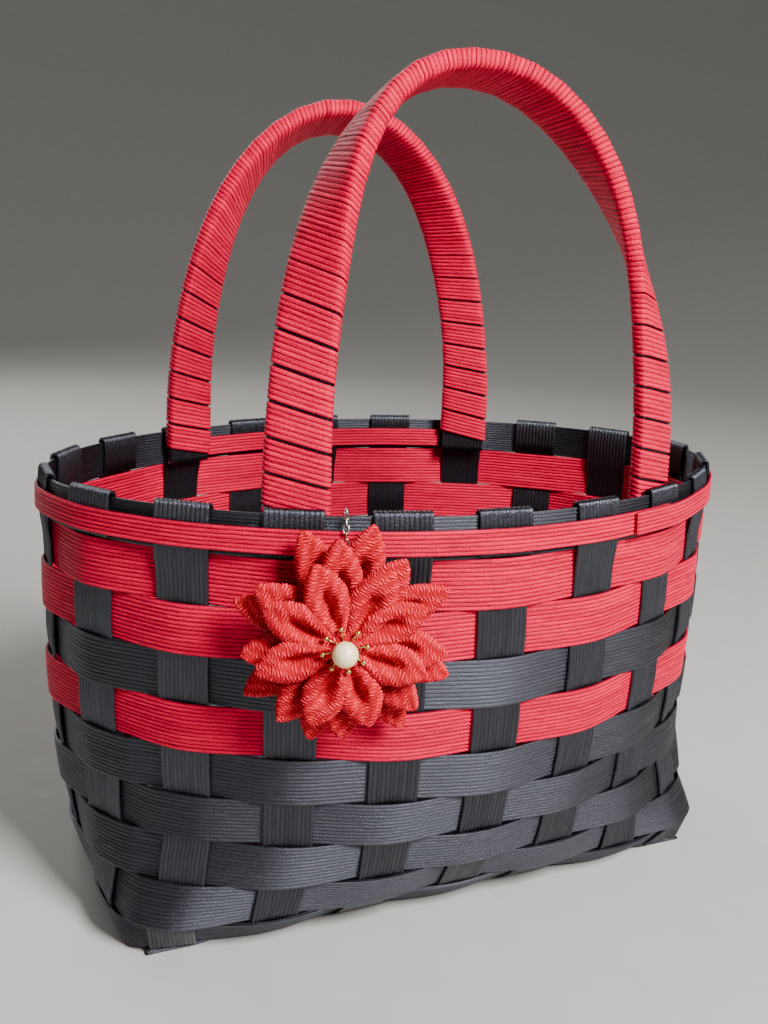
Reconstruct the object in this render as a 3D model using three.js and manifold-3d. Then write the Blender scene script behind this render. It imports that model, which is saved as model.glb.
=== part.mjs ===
// A hand-woven basket bag: flat bands of paper cord plaited over and under, a rim
// with folded-over stakes, two strap handles bound with narrow red band, and a
// folded-cloth flower that hangs from the rim on a fine chain.
// Millimetres, +Z up, +Y to the back. The origin is the middle of the underside.

import * as THREE from 'three';
import Module from 'manifold-3d';
import { mergeVertices } from 'three/addons/utils/BufferGeometryUtils.js';

const wasm = await Module();
wasm.setup();

// Band stock: wide bands of twelve plies and narrow bands of six, which spread where they bind a handle
const bandWidth = 15.2;
const bandThickness = 1.1;
const narrowBandWidth = 7.7;
const wrapBandWidth = 9.2;

// Clearances
const layerGap = 0.3;
const edgeGap = 0.3;
const rowGap = 0.93;

// Base and stakes
const baseLength = 223.4;
const crossStakeCount = 7;
const sideStakeCount = 3;
const cornerSquareness = 16;
const bendRadius = 2.5;
const outerFillerInset = 7;
const stakeSpread = 0.13;
const hookSpread = 0.17;

// Wall: how far it leans out at the foot and at the rim, and how it rounds to an oval
const rowCount = 9;
const footLean = 0.998;
const rimLean = -0.098;
const leanFade = 48.9;
const endFlareShare = 0.46;
const ovalSquareness = 1.86;
const squarenessFade = 11.5;
const flatMargin = 1.1;
const frontDrift = -3.3;
const driftReach = 2;

// Rim
const rimRingWidth = 12.9;
const rimBandDrop = 3.8;
const redRows = [1, 2, 4];
const rimBandStart = 1.42;
const rimBandLap = 20;
const rimBandStep = 0.3;

// Handles
const handleStake = 2;
const frontHandleHeight = 130.3;
const frontHandleLean = 23.5;
const backHandleHeight = 125.7;
const handleShapes = [
  {
    side: 'front', angle: 0, height: frontHandleHeight, inwardLean: frontHandleLean, roundness: 2.2, topTwist: -0.23,
  },
  { side: 'back', angle: Math.PI, height: backHandleHeight, inwardLean: 0, roundness: 2.07, topTwist: 0.45 },
];
const handleFootDepth = 12.4;
const handleStraight = 4;
const twistStart = 27;
const twistLength = 116;
const strapWidth = 15.8;
const strapThickness = 2;
const footFlare = 0.08;
const flareLength = 40;
const archSwell = 1.8;
const swellStart = 50;
const swellLength = 60;
const wrapClearance = 0.75;
const openPitch = 10.2;
const tightPitch = 9.9;
const openWrapLength = 80;
const strapStep = 6.6;

// Chain
const linkLength = 3.1;
const linkWidth = 1.9;
const linkWire = 0.42;
const linkGap = 0.2;
const chainPlace = -1.54;
const straightLinkCount = 6;
const crestHeight = 0.6;
const crestFall = 1;
const ringWireGap = 0.12;
const jumpRingRadius = 1.35;
const jumpRingWire = 0.5;
const eyeRadius = 1.4;
const eyeWire = 0.6;
const eyeSink = 0.4;

// Flower
const backingRadius = 11;
const backingThickness = 1.2;
const petalCount = 8;
const petalThickness = 1;
const petalCup = 2.2;
const petalWidth = 13.4;
const outerReach = 34;
const middleReach = 30.4;
const innerReach = 25.8;
const lowHub = 2.5;
const highHub = 5.4;
const petalRings = [
  { name: 'outer_petals', reach: outerReach, hub: lowHub, drop: -0.2, turn: 24 },
  { name: 'middle_petals', reach: middleReach, hub: highHub, drop: 0.4, turn: 46.5 },
  { name: 'inner_petals', reach: innerReach, hub: highHub, drop: 1.1, turn: 24 },
];
const petalHubRadius = 5;
const petalSink = 0.6;
const stamenCount = 8;
const stamenReach = 6.4;
const stamenWire = 0.5;
const stamenSink = 0.6;
const stamenBead = 1.3;
const stamenHubRadius = 2.4;
const stamenHubThickness = 0.6;
const pearlDiameter = 7.5;

const material = {
  black: new THREE.MeshStandardMaterial({ color: '#17181c', roughness: 0.5, metalness: 0 }),
  red: new THREE.MeshStandardMaterial({ color: '#c22c3b', roughness: 0.5, metalness: 0 }),
  crepe: new THREE.MeshStandardMaterial({ color: '#cf2b36', roughness: 0.85, metalness: 0 }),
  silver: new THREE.MeshStandardMaterial({ color: '#d8d4cc', roughness: 0.25, metalness: 1 }),
  gold: new THREE.MeshStandardMaterial({ color: '#d9c48c', roughness: 0.35, metalness: 0.6 }),
  pearl: new THREE.MeshStandardMaterial({ color: '#f4ead2', roughness: 0.25, metalness: 0 }),
};

const bag = new THREE.Group();
const up = new THREE.Vector3(0, 0, 1);

// Sizes that follow from the ones above
const layerStep = bandThickness + layerGap;
const halfThickness = bandThickness / 2;
const halfBand = bandWidth / 2;
const halfFlat = halfBand + flatMargin;
const rowPitch = bandWidth + rowGap;
const stakeCount = 2 * (crossStakeCount + sideStakeCount);
const quarter = stakeCount / 4;
const stripCount = 2 * sideStakeCount + 1;
const stripPitch = bandWidth + edgeGap;
const baseDepth = stripCount * stripPitch - edgeGap + 2 * (halfThickness + layerGap);
const baseMiddle = halfThickness + layerStep;
const rimLevel = rowCount + 1;
const rowEase = rowGap / 2 / rowPitch;
const rimStep = rimRingWidth + rowGap / 2;
const ringLow = rowCount + rowGap / 2 / rimStep;
const ringTop = rimLevel;

function addPiece(name, geometry, look, parent = bag) {
  const mesh = new THREE.Mesh(geometry, look);
  mesh.name = name;
  parent.add(mesh);
  return mesh;
}

// Closed triangle mesh from shared points, turned so that its faces point out
function closedGeometry(points, triangles) {
  let volume = 0;
  for (const [a, b, c] of triangles) {
    volume += points[a].dot(new THREE.Vector3().crossVectors(points[b], points[c]));
  }
  const faces = volume < 0 ? triangles.map(([a, b, c]) => [a, c, b]) : triangles;
  const geometry = new THREE.BufferGeometry();
  geometry.setAttribute('position', new THREE.Float32BufferAttribute(points.flatMap((p) => p.toArray()), 3));
  geometry.setIndex(faces.flat());
  geometry.computeVertexNormals();
  return geometry;
}

// Skin over a row of equal sections, either a closed loop or an open run with capped ends
function sweptGeometry(sections, closed) {
  const sides = sections[0].length;
  const triangles = [];
  const runs = closed ? sections.length : sections.length - 1;
  for (let i = 0; i < runs; i += 1) {
    const here = i * sides;
    const next = ((i + 1) % sections.length) * sides;
    for (let j = 0; j < sides; j += 1) {
      const k = (j + 1) % sides;
      triangles.push([here + j, here + k, next + k], [here + j, next + k, next + j]);
    }
  }
  if (!closed) {
    const last = (sections.length - 1) * sides;
    for (let j = 1; j < sides - 1; j += 1) {
      triangles.push([0, j + 1, j], [last, last + j, last + j + 1]);
    }
  }
  return closedGeometry(sections.flat(), triangles);
}

// Four corners of a band between two of its edge points, each with its own thickness direction
function bandSection(low, lowOut, high, highOut) {
  return [
    low.clone().addScaledVector(lowOut, -halfThickness),
    high.clone().addScaledVector(highOut, -halfThickness),
    high.clone().addScaledVector(highOut, halfThickness),
    low.clone().addScaledVector(lowOut, halfThickness),
  ];
}

// Wall surface: at each level between rows the plan is a superellipse, sampled by arc length
const planSamples = 720;

const levelHeight = (level) => Math.min(level, rowCount) * rowPitch + Math.max(level - rowCount, 0) * rimStep;

function planOutline(level) {
  const fade = Math.exp(-levelHeight(level) / squarenessFade);
  const squareness = ovalSquareness + (cornerSquareness - ovalSquareness) * fade;
  const out = wallSteps.slice(0, level).reduce((sum, step) => sum + step.out, 0);
  const halfLength = baseLength / 2 + out * endFlareShare;
  const halfDepth = baseDepth / 2 + out;
  const outline = [];
  let length = 0;
  for (let i = 0; i <= planSamples; i += 1) {
    const angle = (2 * Math.PI * i) / planSamples - Math.PI / 2;
    const c = Math.cos(angle);
    const s = Math.sin(angle);
    const x = halfLength * Math.sign(c) * Math.abs(c) ** (2 / squareness);
    const y = halfDepth * Math.sign(s) * Math.abs(s) ** (2 / squareness);
    if (i > 0) {
      length += Math.hypot(x - outline[i - 1].x, y - outline[i - 1].y);
    }
    outline.push({ x, y, length });
  }
  const z = baseMiddle + wallSteps.slice(0, level).reduce((sum, step) => sum + step.rise, 0);
  return { outline, length, z };
}

const wallSteps = Array.from({ length: rimLevel }, (_, row) => {
  const step = levelHeight(row + 1) - levelHeight(row);
  const lean = rimLean + (footLean - rimLean) * Math.exp(-(levelHeight(row) + step / 2) / leanFade);
  return { out: step * Math.sin(lean), rise: step * Math.cos(lean) };
});
const levels = Array.from({ length: rimLevel + 1 }, (_, level) => planOutline(level));

// Hand-set stakes wander: towards the rim, those at the front centre stand a little to one side
function driftAt(level, turn) {
  const share = (Math.abs(turn - Math.round(turn)) * stakeCount) / driftReach;
  return share < 1 ? ((frontDrift * level) / rowCount) * Math.cos((Math.PI / 2) * share) ** 2 : 0;
}

// Point on the wall at a whole level; turn is the share of the way round from the front centre
function levelPoint(level, turn) {
  const { outline, length, z } = levels[level];
  const drifted = turn + driftAt(level, turn) / length;
  const along = (((drifted % 1) + 1) % 1) * length;
  let low = 0;
  let high = planSamples;
  while (high - low > 1) {
    const middle = Math.floor((low + high) / 2);
    if (outline[middle].length > along) high = middle;
    else low = middle;
  }
  const a = outline[low];
  const b = outline[high];
  const share = (along - a.length) / Math.max(b.length - a.length, 1e-9);
  return new THREE.Vector3(a.x + (b.x - a.x) * share, a.y + (b.y - a.y) * share, z);
}

// Flat patch of the wall at a whole level: its middle, its direction along the row and outwards
function levelFrame(level, turn, halfSpan) {
  const share = halfSpan / levels[level].length;
  const middleAt = (l) => {
    const s = halfSpan / levels[l].length;
    return levelPoint(l, turn - s).add(levelPoint(l, turn + s)).multiplyScalar(0.5);
  };
  const centre = middleAt(level);
  const along = levelPoint(level, turn + share).sub(levelPoint(level, turn - share)).normalize();
  const normals = [];
  if (level > 0) normals.push(new THREE.Vector3().crossVectors(along, centre.clone().sub(middleAt(level - 1))));
  if (level < rimLevel) normals.push(new THREE.Vector3().crossVectors(along, middleAt(level + 1).sub(centre)));
  normals.forEach((n) => n.normalize());
  const out = normals.length > 1 ? normals[0].clone().add(normals[1]).normalize() : normals[0].clone();
  out.divideScalar(out.dot(normals[0]));
  return { centre, along, out };
}

const frameStore = new Map();

// The same patch at any height, straight between the levels as a stiff band is
function wallFrame(level, turn, halfSpan = halfBand) {
  const low = Math.min(Math.floor(level), rimLevel - 1);
  const [a, b] = [low, low + 1].map((whole) => {
    const key = `${whole} ${turn.toFixed(6)} ${halfSpan}`;
    if (!frameStore.has(key)) frameStore.set(key, levelFrame(whole, turn, halfSpan));
    return frameStore.get(key);
  });
  const share = level - low;
  return {
    centre: a.centre.clone().lerp(b.centre, share),
    along: a.along.clone().lerp(b.along, share),
    out: a.out.clone().lerp(b.out, share),
  };
}

function placeOnFrame(frame, sideways, outwards) {
  return frame.centre.clone().addScaledVector(frame.along, sideways).addScaledVector(frame.out, outwards);
}

const stakeTurn = (stake) => stake / stakeCount;
const isStakeOutside = (stake, row) => (((stake + row) % 2) + 2) % 2 === 0;

// A stretch of band that runs along the wall: its section at one place
function rowSection(lowLevel, highLevel, turn, halfSpan, sideways, outwards) {
  const low = wallFrame(lowLevel, turn, halfSpan);
  const high = wallFrame(highLevel, turn, halfSpan);
  return bandSection(
    placeOnFrame(low, sideways, outwards), low.out,
    placeOnFrame(high, sideways, outwards), high.out,
  );
}

// Places between two stakes where a band turns a sharp corner, as shares of the gap between them
const cornerStake = (crossStakeCount - 1) / 2;
const cornerSpans = [cornerStake, 2 * quarter - cornerStake - 1, 2 * quarter + cornerStake,
  stakeCount - cornerStake - 1];
const sharpLevels = 5;

function cornerTurns(stake, level) {
  if (!cornerSpans.includes(stake) || level > sharpLevels) return [];
  const margin = halfFlat / levels[Math.round(level)].length;
  const start = stakeTurn(stake) + margin;
  const end = stakeTurn(stake + 1) - margin;
  return [0.25, 0.5, 0.75].map((share) => ({ turn: start + (end - start) * share, share }));
}

// One woven row: a closed ring of band that passes outside one stake and inside the next
function weaverGeometry(row) {
  const lowLevel = rowCount - row + rowEase;
  const highLevel = rowCount - row + 1 - rowEase;
  const sections = [];
  for (let stake = 0; stake < stakeCount; stake += 1) {
    const offset = isStakeOutside(stake, row) ? -layerStep : layerStep;
    for (const sideways of [-halfFlat, halfFlat]) {
      sections.push(rowSection(lowLevel, highLevel, stakeTurn(stake), halfBand, sideways, offset));
    }
    for (const { turn, share } of cornerTurns(stake, lowLevel)) {
      sections.push(rowSection(lowLevel, highLevel, turn, 1, 0, offset * Math.cos(Math.PI * share)));
    }
  }
  return sweptGeometry(sections, true);
}

// The rim ring: a plain band standing between the stakes that pass in front of and behind it
function rimRingGeometry() {
  const sections = [];
  for (let stake = 0; stake < stakeCount; stake += 1) {
    for (const sideways of [-halfFlat, halfFlat]) {
      sections.push(rowSection(ringLow, ringTop, stakeTurn(stake), halfBand, sideways, 0));
    }
  }
  return sweptGeometry(sections, true);
}

// A narrow band along the rim, a little below its top, between two places in stake pitches
function narrowRimBand(start, end, offsetAt) {
  const high = ringTop - rimBandDrop / rimStep;
  const low = high - narrowBandWidth / rimStep;
  const perStake = levels[rimLevel].length / stakeCount;
  const flat = halfFlat / perStake;
  const places = [start];
  for (let stake = Math.floor(start); stake <= Math.ceil(end); stake += 1) {
    places.push(stake - flat, stake + flat);
  }
  const inside = places.filter((place) => place > start + 0.1 && place < end - 0.1);
  const ordered = [start, ...inside.sort((a, b) => a - b), end];
  const sections = ordered.map((place) => {
    const stake = Math.round(place);
    const onFlat = Math.abs(place - stake) <= flat + 1e-6;
    const turn = onFlat ? stakeTurn(stake) : place / stakeCount;
    const sideways = onFlat ? (place - stake) * perStake : 0;
    return rowSection(low, high, turn, onFlat ? halfBand : 1, sideways, offsetAt(place));
  });
  return sweptGeometry(sections, false);
}

// Stakes run up a wall, over the rim ring and down its other face. These are the stations of
// one end, from the base up: the middle of the band, its width direction and its outward one.
// The plies spread on the way up, most of all over the rim, so the width direction lengthens.
const hookSteps = 3;

function stakeEnd(stake) {
  const turn = stakeTurn(stake);
  const side = isStakeOutside(stake, 1) ? 1 : -1;
  const stations = [];
  for (let level = 0; level < rowCount; level += 1) {
    stations.push({ frame: wallFrame(level, turn), offset: 0, swing: 0, spread: (stakeSpread * level) / rowCount });
  }
  stations.push({ frame: wallFrame(rowCount - 0.5, turn), offset: 0, swing: 0, spread: stakeSpread });
  const offset = side * layerStep;
  const hook = [{ frame: wallFrame(rowCount, turn), swing: 0 }];
  for (let step = 0; step <= hookSteps; step += 1) {
    hook.push({ frame: wallFrame(ringTop, turn), swing: (Math.PI * step) / hookSteps });
  }
  hook.push({ frame: wallFrame(ringLow + edgeGap / rimStep, turn), swing: Math.PI });
  stations.push(...hook.map((station) => ({ ...station, offset, spread: hookSpread })));
  return stations.map(({ frame, offset, swing, spread }) => {
    const centre = frame.centre.clone().addScaledVector(frame.out, offset * Math.cos(swing));
    const lift = Math.abs(offset) * Math.sin(swing);
    centre.addScaledVector(up, lift);
    const outward = frame.out.clone().multiplyScalar(Math.cos(swing));
    outward.addScaledVector(up, side * Math.sin(swing));
    return { centre, along: frame.along.clone().multiplyScalar(1 + spread), outward };
  });
}

function stakeSection({ centre, along, outward }) {
  const left = centre.clone().addScaledVector(along, -halfBand);
  const right = centre.clone().addScaledVector(along, halfBand);
  return bandSection(left, outward, right, outward);
}

// The bend from the wall to the base, as stations from the wall inwards
function baseBend(first) {
  const inwards = new THREE.Vector3().crossVectors(first.along, up).multiplyScalar(-1).normalize();
  const corner = first.centre.clone();
  const middle = { centre: corner.clone(), along: first.along, outward: first.outward.clone().sub(up).normalize() };
  middle.outward.divideScalar(middle.outward.dot(up) * -1);
  const inner = corner.clone().addScaledVector(inwards, bendRadius);
  return { corner: middle, inner: { centre: inner, along: first.along, outward: up.clone().multiplyScalar(-1) } };
}

function stakeGeometry(startStake, endStake) {
  const ends = [startStake, endStake].map((stake) => {
    const stations = stakeEnd(stake);
    const bend = baseBend(stations[0]);
    return [bend.inner, bend.corner, ...stations.slice(1)];
  });
  const first = ends[0].map(stakeSection).reverse();
  const second = ends[1].map(({ centre, along, outward }) => stakeSection({
    centre, along: along.clone().multiplyScalar(-1), outward,
  }));
  return sweptGeometry([...first, ...second], false);
}

for (let i = 0; i < crossStakeCount; i += 1) {
  const stake = i - (crossStakeCount - 1) / 2;
  addPiece(`cross_stake_${i + 1}`, stakeGeometry(stake, 2 * quarter - stake), material.black);
}

// Strips along the base: the side stakes and, between them, fillers that stop at the end walls.
// Each goes over one cross stake and under the next; the middle strip is lowest at the centre.
const crossPlaces = Array.from({ length: crossStakeCount }, (_, i) =>
  levelFrame(0, stakeTurn(i - (crossStakeCount - 1) / 2), halfBand).centre.x);

function stripStations(strip, startX, endX) {
  const stations = [{ x: startX, height: 0 }];
  crossPlaces.forEach((x, i) => {
    const isBelow = (strip + i - (crossStakeCount - 1) / 2) % 2 === 0;
    const height = isBelow ? -layerStep : layerStep;
    stations.push({ x: x - halfFlat, height }, { x: x + halfFlat, height });
  });
  stations.push({ x: endX, height: 0 });
  return stations;
}

function sideStakeGeometry(index) {
  const stripY = index * 2 * stripPitch;
  const rightEnd = stakeEnd(quarter + index);
  const leftEnd = stakeEnd(3 * quarter - index);
  const rightBend = baseBend(rightEnd[0]);
  const leftBend = baseBend(leftEnd[0]);
  const runIn = baseLength / 2 - bendRadius - 2;
  const run = stripStations(index * 2, -runIn, runIn).map(({ x, height }) => {
    const centre = new THREE.Vector3(x, stripY, baseMiddle + height);
    return { centre, along: new THREE.Vector3(0, -1, 0), outward: new THREE.Vector3(0, 0, -1) };
  });
  const flip = ({ centre, along, outward }) => ({ centre, along: along.clone().multiplyScalar(-1), outward });
  const left = [leftBend.corner, ...leftEnd.slice(1)].reverse();
  const right = [rightBend.corner, ...rightEnd.slice(1)].map(flip);
  return sweptGeometry([...left, ...run, ...right].map(stakeSection), false);
}

function fillerGeometry(strip) {
  const inset = Math.abs(strip) === sideStakeCount ? outerFillerInset : 0;
  const halfLength = baseLength / 2 - layerStep - halfThickness - layerGap - inset;
  const sections = stripStations(strip, -halfLength, halfLength).map(({ x, height }) => stakeSection({
    centre: new THREE.Vector3(x, strip * stripPitch, baseMiddle + height),
    along: new THREE.Vector3(0, 1, 0),
    outward: new THREE.Vector3(0, 0, 1),
  }));
  return sweptGeometry(sections, false);
}

for (let i = 0; i < sideStakeCount; i += 1) {
  addPiece(`side_stake_${i + 1}`, sideStakeGeometry(i - (sideStakeCount - 1) / 2), material.black);
}
for (let i = 0; i <= sideStakeCount; i += 1) {
  addPiece(`base_filler_${i + 1}`, fillerGeometry(2 * i - sideStakeCount), material.black);
}

for (let row = 1; row <= rowCount; row += 1) {
  const isRed = redRows.includes(row);
  addPiece(`weaver_row_${row}`, weaverGeometry(row), isRed ? material.red : material.black);
}
addPiece('rim_ring', rimRingGeometry(), material.black);

// The red band round the rim starts beside a stake, lying over its own other end
const rimBandOffset = 2 * layerStep;
const rimStakePitch = levels[rimLevel].length / stakeCount;
const rimBandLapEnd = rimBandStart + rimBandLap / rimStakePitch;
addPiece('rim_band', narrowRimBand(rimBandStart, rimBandLapEnd + stakeCount, (place) => (
  place < rimBandLapEnd + rimBandStep ? rimBandOffset + layerStep : rimBandOffset
)), material.red);

// Handles. The path runs from one foot, up the inside of the rim, over and down to the other.
const wrapThickness = bandThickness;
const strapHalfDepth = strapThickness / 2 + wrapClearance + wrapThickness;
const footOffset = -(layerStep + halfThickness + layerGap + strapHalfDepth);

function makeHandle({ height, roundness, inwardLean, topTwist }) {
  const low = wallFrame(ringTop - handleFootDepth / rimStep, stakeTurn(-handleStake));
  const rim = wallFrame(ringTop, stakeTurn(-handleStake));
  const foot = placeOnFrame(low, 0, footOffset);
  const spring = placeOnFrame(rim, 0, footOffset).addScaledVector(up, handleStraight);
  const half = [foot, foot.clone().lerp(spring, 0.5)];
  const steps = 20;
  const rise = height - handleStraight;
  for (let i = 0; i <= steps; i += 1) {
    const angle = (Math.PI / 2) * (i / steps);
    const x = spring.x * Math.cos(angle) ** (2 / roundness);
    const climb = Math.sin(angle) ** (2 / roundness);
    half.push(new THREE.Vector3(x, spring.y + inwardLean * climb ** 2, spring.z + rise * climb));
  }
  const other = half.slice(0, -1).reverse().map((p) => new THREE.Vector3(-p.x, p.y, p.z));
  const curve = new THREE.CatmullRomCurve3([...half, ...other], false, 'centripetal');
  curve.arcLengthDivisions = 800;
  const face = new THREE.Vector3().crossVectors(handleFront, curve.getTangentAt(0)).normalize();
  const footTwist = Math.atan2(low.out.dot(handleFront), low.out.dot(face));
  return { curve, length: curve.getLength(), footTwist, topTwist };
}

const handleFront = new THREE.Vector3(0, -1, 0);

// Strap frame at a distance along the path: turned to face the wall and wider at the feet,
// nearly flat and thicker on top
function strapFrame(handle, distance) {
  const along = Math.min(Math.max(distance, 0), handle.length);
  const share = along / handle.length;
  const centre = handle.curve.getPointAt(share);
  const forward = handle.curve.getTangentAt(share);
  const face = new THREE.Vector3().crossVectors(handleFront, forward).normalize();
  const front = new THREE.Vector3().crossVectors(forward, face);
  const fromFoot = Math.min(along, handle.length - along) - handleFootDepth;
  const eased = THREE.MathUtils.smoothstep(fromFoot, twistStart, twistStart + twistLength);
  const twist = handle.topTwist + (handle.footTwist - handle.topTwist) * (1 - eased);
  const wide = front.clone().multiplyScalar(Math.cos(twist)).addScaledVector(face, -Math.sin(twist));
  const thick = face.clone().multiplyScalar(Math.cos(twist)).addScaledVector(front, Math.sin(twist));
  centre.addScaledVector(forward, distance - along);
  const flare = 1 + footFlare * (1 - THREE.MathUtils.smoothstep(fromFoot, 0, flareLength));
  const swell = archSwell * THREE.MathUtils.smoothstep(fromFoot, swellStart, swellStart + swellLength);
  return { centre, wide, thick, flare, swell, turning: Math.abs(eased - 0.5) < 0.4 };
}

function strapPoint(handle, distance, wide, thick) {
  const frame = strapFrame(handle, distance);
  const lifted = thick > 0 ? thick + frame.swell : thick;
  return frame.centre.addScaledVector(frame.wide, wide * frame.flare).addScaledVector(frame.thick, lifted);
}

function handleCoreGeometry(handle) {
  const steps = Math.round(handle.length / strapStep);
  const w = strapWidth / 2;
  const t = strapThickness / 2;
  const sections = Array.from({ length: steps + 1 }, (_, i) => {
    const distance = (handle.length * i) / steps;
    return [[-w, -t], [w, -t], [w, t], [-w, t]].map(([a, b]) => strapPoint(handle, distance, a, b));
  });
  return sweptGeometry(sections, false);
}

// The binding: one unbroken narrow band wound round the strap, open on the legs, close over the top
function handleWrapGeometry(handle) {
  const w = strapWidth / 2 + wrapClearance;
  const t = strapThickness / 2 + wrapClearance;
  const girth = 4 * (w + t);
  const round = [
    { wide: 1, thick: 1, run: 2 * t }, { wide: 0, thick: 1, run: w }, { wide: -1, thick: 1, run: w },
    { wide: -1, thick: -1, run: 2 * t }, { wide: 0, thick: -1, run: w }, { wide: 1, thick: -1, run: w },
  ];
  const slant = Math.cos(Math.atan(openPitch / girth));
  const half = wrapBandWidth / 2 / slant;
  const sections = [];
  let distance = half + edgeGap;
  let pitch = openPitch;
  for (let i = 0; distance < handle.length - half - edgeGap; i += 1) {
    const place = round[i % round.length];
    if (i % round.length === 0) {
      const fromFoot = Math.min(distance, handle.length - distance) - handleFootDepth;
      pitch = fromFoot < openWrapLength ? openPitch : tightPitch;
    }
    if (i > 0) distance += (pitch * place.run) / girth;
    // Halfway across a face the band needs a station of its own only where the strap turns
    if (place.wide === 0 && !strapFrame(handle, distance).turning) continue;
    const inner = [place.wide * w, place.thick * t];
    const outer = [place.wide * (w + wrapThickness), place.thick * (t + wrapThickness)];
    sections.push([
      strapPoint(handle, distance - half, ...inner), strapPoint(handle, distance + half, ...inner),
      strapPoint(handle, distance + half, ...outer), strapPoint(handle, distance - half, ...outer),
    ]);
  }
  return sweptGeometry(sections, false);
}

// The back handle is made like the front one and turned half round
for (const shape of handleShapes) {
  const handle = makeHandle(shape);
  const place = new THREE.Group();
  place.rotation.z = shape.angle;
  bag.add(place);
  addPiece(`${shape.side}_handle_core`, handleCoreGeometry(handle), material.black, place);
  addPiece(`${shape.side}_handle_wrap`, handleWrapGeometry(handle), material.red, place);
  const middle = (stakeCount * shape.angle) / (2 * Math.PI);
  const footHalf = (strapWidth / 2 + wrapClearance + wrapThickness) * (1 + footFlare);
  const clear = (footHalf + layerGap) / rimStakePitch;
  const inner = narrowRimBand(middle - handleStake + clear, middle + handleStake - clear, () => -rimBandOffset);
  addPiece(`${shape.side}_inner_band`, inner, material.red);
}

// Solid of a closed geometry, and back again, for joining
const joinTolerance = 0.05;

function toSolid(geometry) {
  const bare = geometry.clone();
  bare.deleteAttribute('normal');
  bare.deleteAttribute('uv');
  const merged = mergeVertices(bare, 1e-4);
  const vertProperties = new Float32Array(merged.attributes.position.array);
  const triVerts = new Uint32Array(merged.index.array);
  return new wasm.Manifold(new wasm.Mesh({ numProp: 3, vertProperties, triVerts }));
}

function toGeometry(solid) {
  const mesh = solid.getMesh();
  const geometry = new THREE.BufferGeometry();
  geometry.setAttribute('position', new THREE.Float32BufferAttribute(mesh.vertProperties, 3));
  geometry.setIndex(Array.from(mesh.triVerts));
  geometry.computeVertexNormals();
  return geometry;
}

function joinAll(geometries) {
  const joined = geometries.map(toSolid).reduce((all, one) => all.add(one));
  return toGeometry(joined.simplify(joinTolerance));
}

// Everything that hangs is built in a frame on the rim: x along it, y up, z outwards.
const hanger = new THREE.Group();
const hangFrame = wallFrame(ringTop, chainPlace / stakeCount, 1);
const hangOut = hangFrame.out.clone().setZ(0).normalize();
const hangAlong = new THREE.Vector3().crossVectors(up, hangOut);
hanger.quaternion.setFromRotationMatrix(new THREE.Matrix4().makeBasis(hangAlong, up, hangOut));
hanger.position.copy(hangFrame.centre);
bag.add(hanger);

// Chain links: round wire bent to an oval
const linkPitch = linkLength - 2 * linkWire - linkGap;
const linkSteps = 8;
const wireSides = 4;

function linkGeometry() {
  const bend = (linkWidth - linkWire) / 2;
  const straight = (linkLength - linkWire) / 2 - bend;
  const sections = [];
  for (let i = 0; i < linkSteps; i += 1) {
    const angle = (2 * Math.PI * (i + 0.5)) / linkSteps;
    const radial = new THREE.Vector3(Math.cos(angle), Math.sin(angle), 0);
    const centre = radial.clone().multiplyScalar(bend);
    centre.y += Math.sign(centre.y) * straight;
    sections.push(Array.from({ length: wireSides }, (_, j) => {
      const round = (2 * Math.PI * j) / wireSides;
      const point = centre.clone().addScaledVector(radial, (linkWire / 2) * Math.cos(round));
      return point.setZ((linkWire / 2) * Math.sin(round));
    }));
  }
  return sweptGeometry(sections, true);
}

// The chain's line: out of the space behind the inner band, over the ring, down in front
const linkHalf = linkWidth / 2;
const chainOut = rimBandOffset + halfThickness + layerGap + linkHalf;
const chainIn = -(halfThickness + (rimBandOffset - bandThickness) / 2);
const bandTop = -rimBandDrop;
const chainCrest = linkHalf + crestHeight;
const chainLine = [
  new THREE.Vector3(0, bandTop - linkPitch, chainIn),
  new THREE.Vector3(0, bandTop / 2, chainIn - layerGap),
  new THREE.Vector3(0, chainCrest - crestFall, chainIn),
  new THREE.Vector3(0, chainCrest, -crestHeight),
  new THREE.Vector3(0, 0, chainOut / 2),
  new THREE.Vector3(0, bandTop, chainOut - layerGap),
  new THREE.Vector3(0, bandTop - linkPitch, chainOut),
];
const chainCurve = new THREE.CatmullRomCurve3(chainLine, false, 'centripetal');
const rimLinkCount = Math.floor(chainCurve.getLength() / linkPitch);

function placeLink(name, centre, direction, roll) {
  const link = addPiece(name, linkGeometry(), material.silver, hanger);
  link.position.copy(centre);
  const turn = new THREE.Quaternion().setFromUnitVectors(new THREE.Vector3(0, 1, 0), direction);
  link.quaternion.copy(turn).multiply(new THREE.Quaternion().setFromAxisAngle(new THREE.Vector3(0, 1, 0), roll));
}

// Along the rim the links lie flat and edge on by turns; the fourth, edge on over the crest,
// carries the free ones. Below the band each link turns on from the one before, and the last
// is flat again to carry the jump ring.
const edgeOn = Math.PI / 2;
const freeTurn = (3 * Math.PI) / (straightLinkCount - 1);
const chainLength = chainCurve.getLength();

for (let i = 0; i < rimLinkCount; i += 1) {
  const share = 1 - ((rimLinkCount - i - 0.5) * linkPitch) / chainLength;
  const roll = i % 2 === 0 ? 0 : edgeOn;
  placeLink(`chain_link_${i + 1}`, chainCurve.getPointAt(share), chainCurve.getTangentAt(share), roll);
}
const curveEndY = bandTop - linkPitch;
for (let i = 0; i < straightLinkCount; i += 1) {
  const centre = new THREE.Vector3(0, curveEndY - (i + 0.5) * linkPitch, chainOut);
  placeLink(`chain_link_${rimLinkCount + i + 1}`, centre, new THREE.Vector3(0, -1, 0), freeTurn * i);
}

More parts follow.
